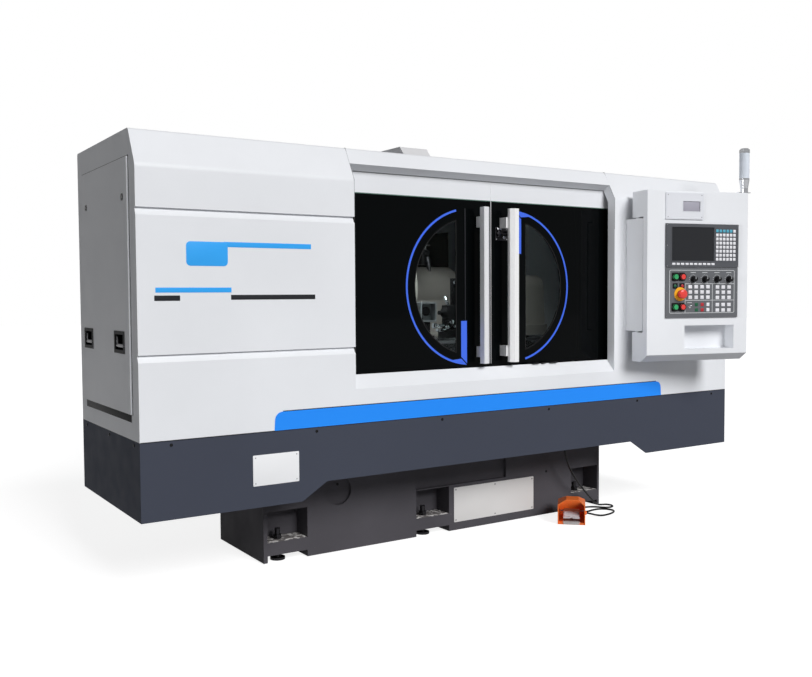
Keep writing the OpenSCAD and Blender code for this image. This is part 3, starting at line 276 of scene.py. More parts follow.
def mix_finishes(paint):
    """Makes every finish once, under the name that the pieces ask for."""
    upright = (22.0, 22.0, 1.0)
    FINISHES.update(
        cover=coat("cover_powder_coat", paint.cover, 0.38),
        # the cover coat made greyer, for the roof hood
        cover_grey=coat("greyer_cover_coat", rgb(214, 214, 216), 0.42, mirror=0.2),
        skirt=coat("skirt_powder_coat", paint.skirt, 0.5, 0.025, mirror=0.03),
        casting=chipped_coat("casting_paint", paint.bed, 0.5, rgb(150, 148, 146), 85.0, 0.735),
        worn_floor=chipped_coat("worn_floor", rgb(112, 108, 108), 0.6, rgb(214, 212, 210), 46.0, 0.52),
        guard_dark=coat("guard_paint", rgb(70, 68, 70), 0.5, 0.1, mirror=0.15),
        head=coat("head_paint", rgb(158, 151, 146), 0.45, 0.06),
        motor=coat("motor_paint", rgb(92, 98, 108), 0.45, 0.05),
        lining=coat("lining_paint", rgb(112, 112, 116), 0.5, 0.08, mirror=0.2),
        accent=coat("accent_film", rgb(60, 172, 252), 0.45, 0.02, 0.00002, 300.0, 0.15),
        stripe=coat("stripe_film", paint.stripe, 0.5, 0.015, 0.00002, 300.0, 0.12),
        trim=coat("arc_trim", paint.trim, 0.5, 0.02, 0.00002, mirror=0.12),
        plate=coat("panel_paint", rgb(98, 100, 104), 0.55, 0.05, 0.00012, 1100.0),
        gauge=coat("gauge_plate", rgb(224, 226, 232), 0.4, 0.02, 0.00005),
        name_plate=coat("blank_plate", rgb(220, 218, 217), 0.35, 0.06, 0.00003),
        bare_plate=coat("skirt_plate", rgb(243, 244, 246), 0.35, 0.02, 0.00003),
        line=coat("panel_lines", rgb(205, 208, 210), 0.5, 0.02, 0.00002, mirror=0.5),
        # dark film for the accent lines, and painted shade for the dark strips in gaps, over the doors, round
        # the side panel and beside the windows
        dark_line=coat("dark_film_and_painted_shade", rgb(44, 45, 49), 0.5, 0.05, 0.00002, mirror=0.1),
        # painted shade in the covers' joints, and the plain grey of the gauge head
        joint=coat("joint_shade_and_gauge_grey", rgb(150, 152, 156), 0.6, 0.05, 0.00002, mirror=0.1),
        sole=coat("sole_plate", rgb(196, 192, 192), 0.45, 0.08, 0.00008),
        guard=hammered("guard_hammer_paint", paint.guard, 0.36),
        steel=metal("ground_steel", rgb(200, 200, 203), 0.22, (1.0, 14.0, 14.0)),
        turned=metal("turned_steel", rgb(176, 176, 180), 0.3, (16.0, 1.0, 1.0)),
        drawn=metal("drawn_steel", rgb(168, 170, 174), 0.34, (1.0, 30.0, 30.0)),
        satin=metal("satin_aluminium", rgb(252, 252, 253), 0.42, upright, 120.0, bright=0.03),
        # painted shade: a darker copy of the satin aluminium above, for the left handle and the bead
        grey_satin=metal("satin_aluminium_painted_shade", rgb(236, 237, 240), 0.42, upright, 120.0, bright=0.1),
        chrome=metal("chrome_plate", rgb(226, 228, 232), 0.14, depth=0.000005),
        dark_steel=metal("oiled_steel", rgb(58, 57, 60), 0.4, (1.0, 1.0, 9.0)),
        treadle=metal("treadle_plate", rgb(222, 216, 220), 0.42, bright=0.35),
        zinc=metal("zinc_screw", rgb(150, 150, 152), 0.35),
        black=moulded("black_plastic", rgb(22, 22, 24), 0.5, mirror=0.12),
        gloss_black=moulded("black_bezel", rgb(16, 16, 18), 0.25, 0.00001),
        unit=moulded("unit_plastic", rgb(80, 82, 87), 0.5, 0.00006),
        key=moulded("pale_keys", rgb(230, 230, 235), 0.45),
        teal_key=moulded("teal_keys", rgb(84, 168, 192), 0.45),
        green_key=moulded("green_keys", rgb(30, 92, 62), 0.4),
        red_key=moulded("red_keys", rgb(178, 44, 52), 0.4),
        red=moulded("red_caps", rgb(228, 66, 60), 0.28, 0.00001, mirror=0.5),
        green=moulded("green_caps", rgb(52, 164, 100), 0.28, 0.00001, mirror=0.5),
        yellow=moulded("yellow_ring", rgb(244, 176, 40), 0.3, 0.00001),
        lens=moulded("lamp_lens", rgb(224, 231, 241), 0.22, 0.00001, mirror=0.5),
        filter=moulded("filter_mat", rgb(40, 41, 42), 0.9, 0.0006, 500.0),
        # black rubber, and painted shade in the grooves' open ends
        rubber=moulded("black_rubber_and_groove_shade", rgb(20, 20, 21), 0.6, 0.00008),
        cable=moulded("cable_sheath", rgb(15, 15, 16), 0.3, 0.00002, 600.0, 0.25),
        hose=moulded("coolant_hose", rgb(38, 64, 120), 0.4, 0.00003),
        door=pane("backed_glass", rgb(6, 8, 9), 0.04, 0.0, 0.06),
        glass_edge=pane("glass_edge", rgb(96, 128, 116), 0.15, 0.0),
        window=pane("window_glass", rgb(205, 216, 214), 0.01, 1.0),
        screen=pane("screen_glass", rgb(44, 45, 48), 0.1, 0.0, 0.2),
        gauge_glass=pane("gauge_glass", rgb(168, 166, 178), 0.4, 0.0, 0.1),
        wheel=abrasive("bonded_grit", rgb(198, 192, 184)),
    )


# ---- shaping ----------------------------------------------------------------

WELD = 1e-4  # vertices this close, in millimetres, become one
LEVEL = 1e-6  # heights this close, in millimetres, are the same


def fresh(bm, before):
    """The vertices made since before was taken."""
    return [v for v in bm.verts if v not in before]


def move(bm, before, where):
    """Brings what was made since before was taken to its place."""
    bmesh.ops.transform(bm, matrix=where, verts=fresh(bm, before))


def bevel(bm, edges, offset):
    """Rounds the edges off in two steps."""
    bmesh.ops.bevel(
        bm, geom=list(edges), offset=offset, offset_type="OFFSET", segments=2, profile=0.5,
        affect="EDGES", clamp_overlap=True, material=-1)


def slab(bm, low, high, edge=0.0):
    """A block between two corners."""
    low, high = Vector(low), Vector(high)
    verts = bmesh.ops.create_cube(bm, size=1.0)["verts"]
    bmesh.ops.scale(bm, vec=high - low, verts=verts)
    bmesh.ops.translate(bm, vec=(low + high) / 2, verts=verts)
    if edge:
        bevel(bm, {e for v in verts for e in v.link_edges}, edge)


def towards(base, direction):
    """Turns +Z towards direction and moves the origin to base."""
    return Matrix.Translation(base) @ Vector(direction).to_track_quat("Z", "Y").to_matrix().to_4x4()


def drum(bm, base, direction, radius, length, edge, sides):
    """A round bar with its rims rounded off."""
    before = set(bm.verts)
    verts = bmesh.ops.create_cone(
        bm, cap_ends=True, cap_tris=False, segments=sides, radius1=radius, radius2=radius,
        depth=length)["verts"]
    bmesh.ops.translate(bm, vec=(0, 0, length / 2), verts=verts)
    rims = {e for v in verts for e in v.link_edges if abs(e.verts[0].co.z - e.verts[1].co.z) < LEVEL}
    bevel(bm, rims, edge)
    move(bm, before, towards(base, direction))


def turned(bm, base, direction, outline, sides, closed=False):
    """Spins an outline of (radius, height) pairs about the direction through base."""
    before = set(bm.verts)
    verts = [bm.verts.new((radius, 0.0, height)) for radius, height in outline]
    chain = verts + verts[:1] if closed else verts
    edges = [bm.edges.new(pair) for pair in zip(chain, chain[1:])]
    bmesh.ops.spin(
        bm, geom=verts + edges, cent=(0, 0, 0), axis=UP, angle=math.tau, steps=sides,
        use_merge=True, use_duplicate=False)
    bmesh.ops.remove_doubles(bm, verts=fresh(bm, before), dist=WELD)
    move(bm, before, towards(base, direction))


def front(depth):
    """Frame of a flat outline seen from the front: across, up, and out towards the front."""
    return Matrix(((1, 0, 0, 0), (0, 0, -1, depth), (0, 1, 0, 0), (0, 0, 0, 1)))


def across(x, out=1):
    """Frame of a flat outline on a side: back, up, and out to the right, or to the left if out is -1."""
    return Matrix(((0, 0, out, x), (1, 0, 0, 0), (0, 1, 0, 0), (0, 0, 0, 1)))


def thicken(bm, faces, thickness):
    """Draws flat faces out to their thickness."""
    raised = bmesh.ops.extrude_face_region(bm, geom=faces)["geom"]
    verts = [v for v in raised if isinstance(v, bmesh.types.BMVert)]
    bmesh.ops.translate(bm, vec=(0, 0, thickness), verts=verts)


def plate(bm, outline, thickness, where, edge=0.0):
    """A flat plate of the given outline, lying on where's plane and standing out of it."""
    before = set(bm.verts)
    thicken(bm, [bm.faces.new([bm.verts.new((a, b, 0.0)) for a, b in outline])], thickness)
    if edge:
        top = thickness - LEVEL
        bevel(bm, [e for e in bm.edges
                   if e.verts[0] not in before and all(v.co.z > top for v in e.verts)], edge)
    move(bm, before, where)


def ring(bm, outer, inner, thickness, where):
    """A flat ring between two outlines with the same number of points."""
    before = set(bm.verts)
    loops = []
    for outline in (outer, inner):
        verts = [bm.verts.new((a, b, 0.0)) for a, b in outline]
        loops += [bm.edges.new(pair) for pair in zip(verts, verts[1:] + verts[:1])]
    thicken(bm, bmesh.ops.bridge_loops(bm, edges=loops)["faces"], thickness)
    move(bm, before, where)


def rounded(x0, z0, x1, z1, radius):
    """Outline of a rectangle with round corners."""
    steps = 5
    points = []
    corners = ((x1 - radius, z0 + radius, -90), (x1 - radius, z1 - radius, 0),
               (x0 + radius, z1 - radius, 90), (x0 + radius, z0 + radius, 180))
    for cx, cz, start in corners:
        for i in range(steps + 1):
            a = math.radians(start + 90 * i / steps)
            points.append((cx + radius * math.cos(a), cz + radius * math.sin(a)))
    return points


def frame_strip(bm, x0, z0, x1, z1, width, depth, thickness, radius):
    """A rectangular ring of strip on a front face."""
    ring(bm, rounded(x0, z0, x1, z1, radius + width),
         rounded(x0 + width, z0 + width, x1 - width, z1 - width, radius), thickness, front(depth))


def screw_head(bm, base, out, radius):
    """A low round screw head with a round recess."""
    outline = ((0, 0.12), (0.42, 0.12), (0.42, 0.5), (0.72, 0.52), (1, 0.25), (1, 0))
    turned(bm, base, out, [(radius * r, radius * h) for r, h in outline], 20)


def flush_head(bm, base, out, radius):
    """A sunk screw head, level with the outermost faces of the machine."""
    turned(bm, base, out, [(0, FLUSH), (radius, FLUSH), (radius, -1.0)], 20)


def piece_from(mesh, name, finish, body, angle=32.0):
    """Gives a finished mesh its material and the body that it rides on."""
    mesh.materials.clear()
    mesh.materials.append(FINISHES[finish])
    for face in mesh.polygons:
        face.use_smooth = True
    mesh.set_sharp_from_angle(angle=math.radians(angle))
    piece = bpy.data.objects.new(name, mesh)
    bpy.context.scene.collection.objects.link(piece)
    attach(piece, body)
    return piece


def build(name, finish, shapes, body="machine", where=FLOOR):
    """Makes one piece from its shapes, in millimetres. Each row is a maker and what it is given."""
    bm = bmesh.new()
    for maker, *given in shapes:
        maker(bm, *given)
    bmesh.ops.remove_doubles(bm, verts=bm.verts, dist=WELD)
    bmesh.ops.recalc_face_normals(bm, faces=bm.faces)
    bmesh.ops.transform(bm, matrix=where, verts=bm.verts)
    mesh = bpy.data.meshes.new(name)
    bm.to_mesh(mesh)
    bm.free()
    return piece_from(mesh, name, finish, body)


def smooth_line(points, steps):
    """A smooth curve through points in millimetres, as places in metres; steps is for each stretch."""
    points = [Vector(p) for p in points]
    ends = [points[0] * 2 - points[1]] + points + [points[-1] * 2 - points[-2]]
    line = []
    for a, b, c, d in zip(ends, ends[1:], ends[2:], ends[3:]):
        for k in range(steps):
            t = k / steps
            line.append(0.5 * (2 * b + (c - a) * t + (2 * a - 5 * b + 4 * c - d) * t**2
                               + (3 * b - 3 * c + d - a) * t**3))
    line.append(points[-1])
    return [FLOOR @ p for p in line]


def round_curve(name, path, radius, resolution):
    """A curve object along the path with a round section, in metres."""
    line = bpy.data.curves.new(name, "CURVE")
    line.dimensions = "3D"
    line.bevel_depth = radius
    line.bevel_resolution = resolution
    line.use_fill_caps = True
    run = line.splines.new("POLY")
    run.points.add(len(path) - 1)
    for point, place in zip(run.points, path):
        point.co = (*place, 1.0)
    return bpy.data.objects.new(name, line)


def hose(name, points, radius, finish, body):
    """A hose along smooth points in millimetres, as a mesh."""
    tube = round_curve(name, smooth_line(points, 5), radius * MM, 3)
    mesh = bpy.data.meshes.new_from_object(tube)
    bpy.data.objects.remove(tube)
    mesh.name = name
    return piece_from(mesh, name, finish, body, 60.0)


class Task:
    """Shared by the operators."""

    bl_options = {"REGISTER", "UNDO"}


# ---- stage ------------------------------------------------------------------

SHEEN_SHARE = 0.36  # how much of the white surroundings a sheen picks up
FLOOR_GLOW = 0.84
FLOOR_DROP = 0.0005
KEY_ANGLE = 26.0
CAMERA_PLACE = (-850.27, -2824.87, 978.46)
CAMERA_TURN, CAMERA_TILT, CAMERA_ROLL = -33.06, 90 - 2.66, -0.34


def lamp(name, kind, strength, place, aim):
    """A lamp at place that shines towards aim."""
    light = bpy.data.lights.new(name, kind)
    light.energy = strength
    holder = bpy.data.objects.new(name, light)
    holder.location = place
    holder.rotation_euler = (Vector(aim) - Vector(place)).to_track_quat("-Z", "Y").to_euler()
    bpy.context.scene.collection.objects.link(holder)
    return light


def area_lamp(name, strength, place, aim, size, cone):
    """A lit rectangle of the given sides whose light keeps within a cone, in degrees."""
    light = lamp(name, "AREA", strength, place, aim)
    light.shape = "RECTANGLE"
    light.size, light.size_y = size
    light.spread = math.radians(cone)


def seen_ray(tree):
    """1 for what the camera or a pane looks at, part of it for a sheen, and 0 for light on things."""
    path = tree.nodes.new("ShaderNodeLightPath")
    total = 0.0
    for ray, share in (("Is Camera Ray", 1.0), ("Is Transmission Ray", 1.0), ("Is Glossy Ray", SHEEN_SHARE)):
        add = tree.nodes.new("ShaderNodeMath")
        add.operation = "MULTIPLY_ADD"
        total = wire(add, {0: path.outputs[ray], 1: share, 2: total}).outputs["Value"]
    return total


class GRINDER_OT_stage(Task, bpy.types.Operator):
    """Sets up the floor, the even light, the lamps and the camera"""

    bl_idname = "grinder.stage"
    bl_label = "Stage and camera"

    def execute(self, context):
        stage = context.scene.grinder_stage
        scene = context.scene
        scene.view_settings.view_transform = "Standard"

        world = bpy.data.worlds.new("studio")
        scene.world = world
        world.use_nodes = True
        tree = world.node_tree
        strength = wire(tree.nodes.new("ShaderNodeMapRange"), {
            "To Min": stage.sky, "To Max": 1.0, "Value": seen_ray(tree)})
        wire(tree.nodes["Background"], {"Color": WHITE, "Strength": strength.outputs["Result"]})

        bm = bmesh.new()
        bmesh.ops.create_grid(bm, x_segments=1, y_segments=1, size=30.0)
        mesh = bpy.data.meshes.new("floor")
        bm.to_mesh(mesh)
        bm.free()
        floor = bpy.data.objects.new("floor", mesh)
        floor.location.z = -FLOOR_DROP
        scene.collection.objects.link(floor)
        surface, tree, shader = blank_finish("floor_paint", stage.floor, 0.9)
        glow = wire(tree.nodes.new("ShaderNodeMapRange"), {"To Max": FLOOR_GLOW, "Value": seen_ray(tree)})
        wire(shader, {"Emission Color": WHITE, "Emission Strength": glow.outputs["Result"]})
        mesh.materials.append(surface)

        lamp("key", "SUN", stage.key, (0.5, -5.7, 4.2), (0, 0, 0.4)).angle = math.radians(KEY_ANGLE)
        area_lamp("work_light", 2.4, FLOOR @ Vector((1360, 250, 1400)), FLOOR @ Vector((1400, 420, 860)),
                  (0.3, 0.1), 115)
        area_lamp("side_light", 0.7, (-1.15, -1.15, 1.15), (1.4, -1.02, 1.1), (0.4, 1.0), 26)

        view = bpy.data.cameras.new("view")
        view.lens = stage.lens
        view.clip_end = 80.0
        camera = bpy.data.objects.new("view", view)
        camera.location = FLOOR @ Vector(CAMERA_PLACE)
        camera.rotation_euler = (
            Matrix.Rotation(math.radians(CAMERA_TURN), 3, "Z")
            @ Matrix.Rotation(math.radians(CAMERA_TILT), 3, "X")
            @ Matrix.Rotation(math.radians(CAMERA_ROLL), 3, "Z")).to_euler()
        scene.collection.objects.link(camera)
        scene.camera = camera
        return {"FINISHED"}


# ---- cable ------------------------------------------------------------------

LYING_Z = 4.2  # the cable's middle where it lies on the floor
# Points along the cable, in millimetres: the same route as the solid model's.
CABLE_ROUTE = [
    (1905, 234, 352), (1905, 205, 352), (1905, 178, 346), (1906, 158, 330), (1908, 147, 305),
    (1913, 142, 275), (1928, 144, 235), (1962, 153, 190), (2010, 167, 141), (2062, 183, 97),
    (2112, 199, 58), (2152, 212, 29), (2184, 222, 11),
    *[(x, y, LYING_Z) for x, y in (
        (2210, 226), (2234, 215), (2242, 194), (2232, 172), (2208, 164), (2184, 174), (2164, 198),
        (2140, 219), (2108, 229), (2074, 230), (2044, 220), (2028, 196), (2038, 171), (2066, 162),
        (2100, 168), (2134, 168), (2160, 154), (2174, 131), (2171, 107), (2152, 88), (2124, 76),
        (2092, 70))],
    (2060, 69, 5), (2030, 76, 10), (2012, 87, 15), (1998, 99, 18)]
SLEEVE_BORE = 4.02
SLEEVE_L = 35.0


class GRINDER_OT_cable(Task, bpy.types.Operator):
    """Makes the foot switch's cable and the sleeve where it leaves the bed"""

    bl_idname = "grinder.cable"
    bl_label = "Foot switch cable"

    def execute(self, context):
        diameter = context.scene.grinder_details.cable
        path = smooth_line(CABLE_ROUTE, 4)
        lead = round_curve("footswitch_lead", path, diameter / 2, 4)
        lead.data.materials.append(FINISHES["cable"])
        context.scene.collection.objects.link(lead)
        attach(lead, "machine")
        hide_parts("footswitch_cable")

        # tapered sleeve out of the gland, ribbed as such sleeves are
        outline = [(SLEEVE_BORE, 0.0)]
        for i in range(7):
            rib, neck, start = 8.4 - 0.55 * i, 7.2 - 0.5 * i, 5.0 * i
            outline += [(rib, start), (rib, start + 3.2), (neck, start + 3.6), (neck, start + 4.6)]
        outline.append((SLEEVE_BORE, SLEEVE_L))
        relief_sleeve = build("gland_sleeve", "rubber", [
            (turned, (1905, 214.5, 352), (0, -1, -0.02), outline, 28, True)])
        return {"FINISHED"}


# ---- finishes on the solid model --------------------------------------------

# The solids that take each finish.
NODE_FINISH = {
    "casting": "bed",
    "dark_steel": "levelling_feet",
    "turned": "wheel_spindle",
    "skirt": "skirt",
    "lining": "drip_tray",
    "cover": "left_cover top_cover apron right_cover side_panel rear_cover left_door_frame "
             "right_door_frame pendant_post pendant_box",
    "black": "side_trays left_carriages right_carriages knob_1 knob_2 knob_3 knob_4 cable_gland",
    "chrome": "side_bail_front side_bail_rear lamp_body",
    "stripe": "blue_stripe",
    "drawn": "door_rails",
    "door": "left_door_panel right_door_panel",
    "window": "left_window right_window",
    "trim": "left_arc right_arc",
    # painted shade: the left handle takes a darker copy of the right handle's satin aluminium
    "grey_satin": "left_handle",
    "satin": "right_handle",
    "plate": "control_plates",
    "unit": "cnc_unit",
    "screen": "screens",
    "key": "cnc_keys",
    "lens": "lamp_lens",
    "red": "e_stop red_button_upper red_button_lower",
    "green": "green_button_upper green_button_lower",
    "steel": "table work_spindle quill",
    "head": "workhead tailstock wheelhead",
    "guard_dark": "wheel_guard",
    "cover_grey": "roof_hood",
    "motor": "wheel_motor",
    "wheel": "grinding_wheel",
    "guard": "foot_switch_guard",
    "treadle": "foot_treadle",
    "cable": "footswitch_cable",
}


class GRINDER_OT_finishes(Task, bpy.types.Operator):
    """Gives every solid of the frame its finish"""

    bl_idname = "grinder.finishes"
    bl_label = "Finishes"

    def execute(self, context):
        mix_finishes(context.scene.grinder_paint)
        bare = set(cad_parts)
        for finish, nodes in NODE_FINISH.items():
            for node in nodes.split():
                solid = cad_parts[node]
                solid.data.materials.clear()
                solid.data.materials.append(FINISHES[finish])
                bare.discard(node)
        if bare:
            raise RuntimeError(f"no finish for {sorted(bare)}")
        return {"FINISHED"}


# ---- enclosure --------------------------------------------------------------

FILM_T = 0.6
LINE_T = 1.4
ROOF_Z = 1508.2
SKIRT_SCREW_Z = 511


def film(x0, z0, x1, z1, radius=1.5, thickness=FILM_T):
    """The row for a bar of film on the front of the left cover."""
    return plate, rounded(x0, z0, x1, z1, radius), thickness, front(0), 0.25


class GRINDER_OT_enclosure_trim(Task, bpy.types.Operator):
    """Makes the blank name block, the accent lines, the dark line on the stripe, and painted shade along the
    skirt, over the doors, at the grooves' ends and in the joints of the covers
    """

    bl_idname = "grinder.enclosure_trim"
    bl_label = "Enclosure trim"

    def execute(self, context):
        build("accent_blue", "accent", [
            film(159, 1078, 299, 1156, 14),
            film(285, 1140, 602, 1157, thickness=FILM_T * 0.9),
            film(58, 993, 310, 1009)])
        build("accent_dark", "dark_line", [film(54, 967, 137, 984), film(308, 969, 616, 985)])

        # a dark line along the top of the stripe, and painted shade: a dark line in the gap along the top of
        # the skirt
        low, high = span("blue_stripe")
        build("stripe_line_and_skirt_shade", "dark_line", [
            (slab, (low.x + 32, -LINE_T, high.z - 0.5), (high.x - 32, 0, high.z + 3.0), 0.4),
            (slab, (2, -LINE_T, 524.0), (BODY_L - 2, 0, 526.8), 0.4)])

        # shadow line where the doors' heads pass behind the lean
        build("head_shadow_line", "dark_line", [
            (slab, (LEFT_END + 1, DOOR_Y - 3.4, 1427.6), (RIGHT_START - 1, DOOR_Y - 0.6, 1431.4), 0.5)])

        # painted shade: grey strips in the joints between the cover modules, over the lean, the roof and the
        # back
        back, inside = BODY_D + 0.2, BODY_D - 0.8
        over = [(-0.2, 1260), (-0.2, 1389), (63.8, ROOF_Z), (BODY_D - 8, ROOF_Z), (back, 1500), (back, 530)]
        under = [(0.6, 1260), (0.6, 1389), (64.4, 1507), (BODY_D - 8, 1507), (inside, 1500), (inside, 530)]
        build("cover_joint_shade", "joint", [
            (plate, over + under[::-1], 1.6, across(x - 0.8)) for x in (LEFT_END, RIGHT_START)])

        # painted shade: black blocks where the grooves end open, at the edge of the door opening
        build("groove_end_shade", "rubber", [
            (slab, (LEFT_END - 2, 1.5, z - 21), (LEFT_END + 2.6, 10.5, z - 2), 0.8) for z in (798, 1258)])
        return {"FINISHED"}


class GRINDER_OT_rear_fittings(Task, bpy.types.Operator):
    """Makes the screws of the back and the frames and filter mats of its louvres"""

    bl_idname = "grinder.rear_fittings"
    bl_label = "Rear fittings"

    def execute(self, context):
        low, high = span("rear_cover")
        radius = context.scene.grinder_details.screw
        rows = (420, 640, 900, 1160, 1420)
        columns = (low.x + 60, (low.x + high.x) / 2, high.x - 60)
        ends = ((low.x, -1), (high.x, 1))
        heads = [(screw_head, (x, y, z), (out, 0, 0), radius)
                 for z in rows for y in (low.y + 26, high.y - 26) for x, out in ends]
        heads += [(flush_head, (x, high.y, z), BACK, radius) for z in rows for x in (low.x + 40, high.x - 40)]
        heads += [(flush_head, (x, high.y, high.z - 40), BACK, radius) for x in columns]
        heads += [(screw_head, (x, y, high.z), UP, radius)
                  for x in columns for y in (low.y + 40, high.y - 40)]
        build("rear_screws", "zinc", heads)
        build("filter_mats", "filter", [
            (slab, (x, 1340, 1038), (x + 8, 1660, 1330), 2.0) for x in (low.x + 3.3, high.x - 11.3)])
        build("louvre_frames", "cover", [
            (ring, rounded(1336, 1034, 1664, 1332, 10), rounded(1344, 1042, 1656, 1324, 6), 1.2,
             across(x, out)) for x, out in ends])
        return {"FINISHED"}


class GRINDER_OT_side_fittings(Task, bpy.types.Operator):
    """Makes the black strip under the side panel, painted shade in the gap round the lift-off side panel, and
    its locks and grips
    """

    bl_idname = "grinder.side_fittings"
    bl_label = "Side fittings"

    def execute(self, context):
        build("side_strip", "black", [(slab, (-1.5, 79, 582), (0, 631, 606), 0.5)])
        # painted shade: a dark ring in the gap round the lift-off side panel
        build("side_panel_gap_shade", "dark_line", [
            (ring, rounded(64.4, 606.4, 637.6, 1424, 2), rounded(68.2, 608.2, 633.8, 1419.8, 1), 0.8,
             across(-0.8))])

        for name, y in (("front", 177), ("rear", 560)):
            build(f"side_grip_{name}", "zinc", [
                (turned, (-2, y - 31, 822), BACK,
                 [(4, 0), (5.4, 0.8), (6, 3), (6, 59), (5.4, 61.2), (4, 62)], 28, True),
                (slab, (-4.5, y - 35, 826), (0.5, y - 33, 850), 0.6),
                (slab, (-4.5, y + 33, 826), (0.5, y + 35, 850), 0.6)], f"side_bail_{name}")

        locks = ((-6, 119, 1297), (-6, 566, 1299))
        outer = [(4.4, -0.5), (12, -0.5), (12, 0.6), (10.5, 1.6), (5, 1.6), (4.4, 1.0)]
        core = [(0, 0.3), (1.2, 0.3), (1.2, 1.3), (3.4, 1.3), (4.3, 0.7), (4.3, -0.4)]
        build("side_lock_rings", "gloss_black", [
            (turned, lock, LEFT, outer, 36, True) for lock in locks])
        build("side_lock_cores", "zinc", [(turned, lock, LEFT, core, 32) for lock in locks])
        return {"FINISHED"}


class GRINDER_OT_skirt_fittings(Task, bpy.types.Operator):
    """Makes the blank plate and the screws of the skirt"""

    bl_idname = "grinder.skirt_fittings"
    bl_label = "Skirt fittings"

    def execute(self, context):
        plate_t = 1.2
        build("skirt_blank_plate", "bare_plate", [
            (plate, rounded(377, 345, 547, 449, 3), plate_t, front(0), 0.4)])
        build("skirt_plate_rivets", "zinc", [
            (screw_head, (x, -plate_t, z), FRONT, 2.0) for x in (386, 538) for z in (354, 440)])

        radius = context.scene.grinder_details.screw
        heads = [(screw_head, (x, 0, SKIRT_SCREW_Z), FRONT, radius)
                 for x in (100, 617, 1150, 1686, 2203, 2700)]
        for y in (60, 340, 640):
            heads += [(screw_head, (0, y, SKIRT_SCREW_Z), LEFT, radius),
                      (flush_head, (BODY_L, y, SKIRT_SCREW_Z), RIGHT, radius)]
        build("skirt_screws", "gloss_black", heads)
        return {"FINISHED"}


# ---- doors ------------------------------------------------------------------

BAND_Z = 1354.0
WINDOW_R = 268.0
WINDOW_FLAT = 74.0  # from the centre of the window's arc to its flat side
GASKET_W = 2.4


def door_trim(body, arc_x, side):
    """Glass edge, gasket, slim line and meeting seal of one door; side is -1 for the left one."""
    low, high = span(f"{body}_panel")
    build(f"{body}_glass_edge", "glass_edge", [
        (slab, (low.x + 1, DOOR_Y - 0.6, BAND_Z - 3.2), (high.x - 1, DOOR_Y, BAND_Z - 0.2), 0.2)], body)

    # gasket round the window: the arc from corner to corner, closed by the flat side
    reach = math.acos(WINDOW_FLAT / WINDOW_R)
    outlines = []
    for r, flat in ((WINDOW_R + 0.4, WINDOW_FLAT - 0.4), (WINDOW_R - GASKET_W, WINDOW_FLAT + GASKET_W)):
        turns = [reach * (i / 20 - 1) for i in range(41)]
        outline = [(max(r * math.cos(a), flat), r * math.sin(a)) for a in turns]
        outline += [(flat, r * math.sin(reach) * (1 - i / 8)) for i in range(1, 16)]
        outlines.append([(arc_x + side * u, AXIS_Z + z) for u, z in outline])
    build(f"{body}_gasket", "rubber", [(ring, *outlines, 1.2, front(DOOR_Y))], body)

    # slim shadow line beside the flat side of the window
    line_x = arc_x + side * 30.0
    build(f"{body}_slim_line", "dark_line", [
        (slab, (line_x - 2, DOOR_Y - 0.5, 790), (line_x + 2, DOOR_Y, 1318), 0.2)], body)

    # soft seal on the meeting edge
    seam_x = high.x - 0.3 if side < 0 else low.x + 0.3
    build(f"{body}_seal", "rubber", [
        (slab, (seam_x - 0.25, DOOR_Y + 3, 694), (seam_x + 0.25, DOOR_Y + 22, 1352))], body)


class GRINDER_OT_doors(Task, bpy.types.Operator):
    """Makes the trim of the two doors, the bead, the catch and the stops on the sill"""

    bl_idname = "grinder.doors"
    bl_label = "Door trim"

    def execute(self, context):
        door_trim("left_door", SEAM_X - 99, -1)
        door_trim("right_door", SEAM_X + 104, 1)

        # bright bead along the meeting edge of the left door
        build("left_door_bead", "grey_satin", [
            (slab, (SEAM_X - 3.0, DOOR_Y - 1.6, 706), (SEAM_X - 0.8, DOOR_Y + 4, 1416), 0.4)], "left_door")

        # catch behind the right handle: a base plate, a bolt in two guides and its lever
        base = DOOR_Y - 2
        build("right_door_catch", "dark_steel", [
            (plate, rounded(1461, 1198, 1523, 1250, 4), 2.0, front(DOOR_Y), 0.6),
            (slab, (1468, base - 11, 1214), (1477, base, 1236), 1.4),
            (slab, (1508, base - 11, 1214), (1517, base, 1236), 1.4),
            (drum, (1463, base - 6, 1225), RIGHT, 4.4, 60.0, 0.8, 20),
            (slab, (1487, base - 14, 1204), (1494, base - 4, 1229), 1.2)], "right_door")
        build("right_door_catch_knob", "chrome", [
            *[(screw_head, (x, base, z), FRONT, 2.8) for x in (1466, 1518) for z in (1203, 1245)],
            (drum, (1490.5, base - 14, 1208), FRONT, 6.0, 4.0, 1.0, 24),
            (slab, (1462, base - 12, 1239), (1482, base, 1247), 1.4)], "right_door")

        # low rubber stops on the sill
        build("sill_stops", "rubber", [
            (slab, (x0, 30, 695.8), (x1, 41, 700.5), 1.6)
            for x0, x1 in ((1628, 1662), (1676, 1698), (1722, 1762))])
        return {"FINISHED"}


# ---- control box ------------------------------------------------------------

PLATE_Y = -5.0  # faces of the two grey plates, of the unit on them and of the gauge plate
UNIT_Y = PLATE_Y - 3
GAUGE_Y = PLATE_Y - 0.5
UNIT_KEY_Y = PLATE_Y - 5
PANEL_KEY_Y = PLATE_Y - 2
KEY_T = 2.2
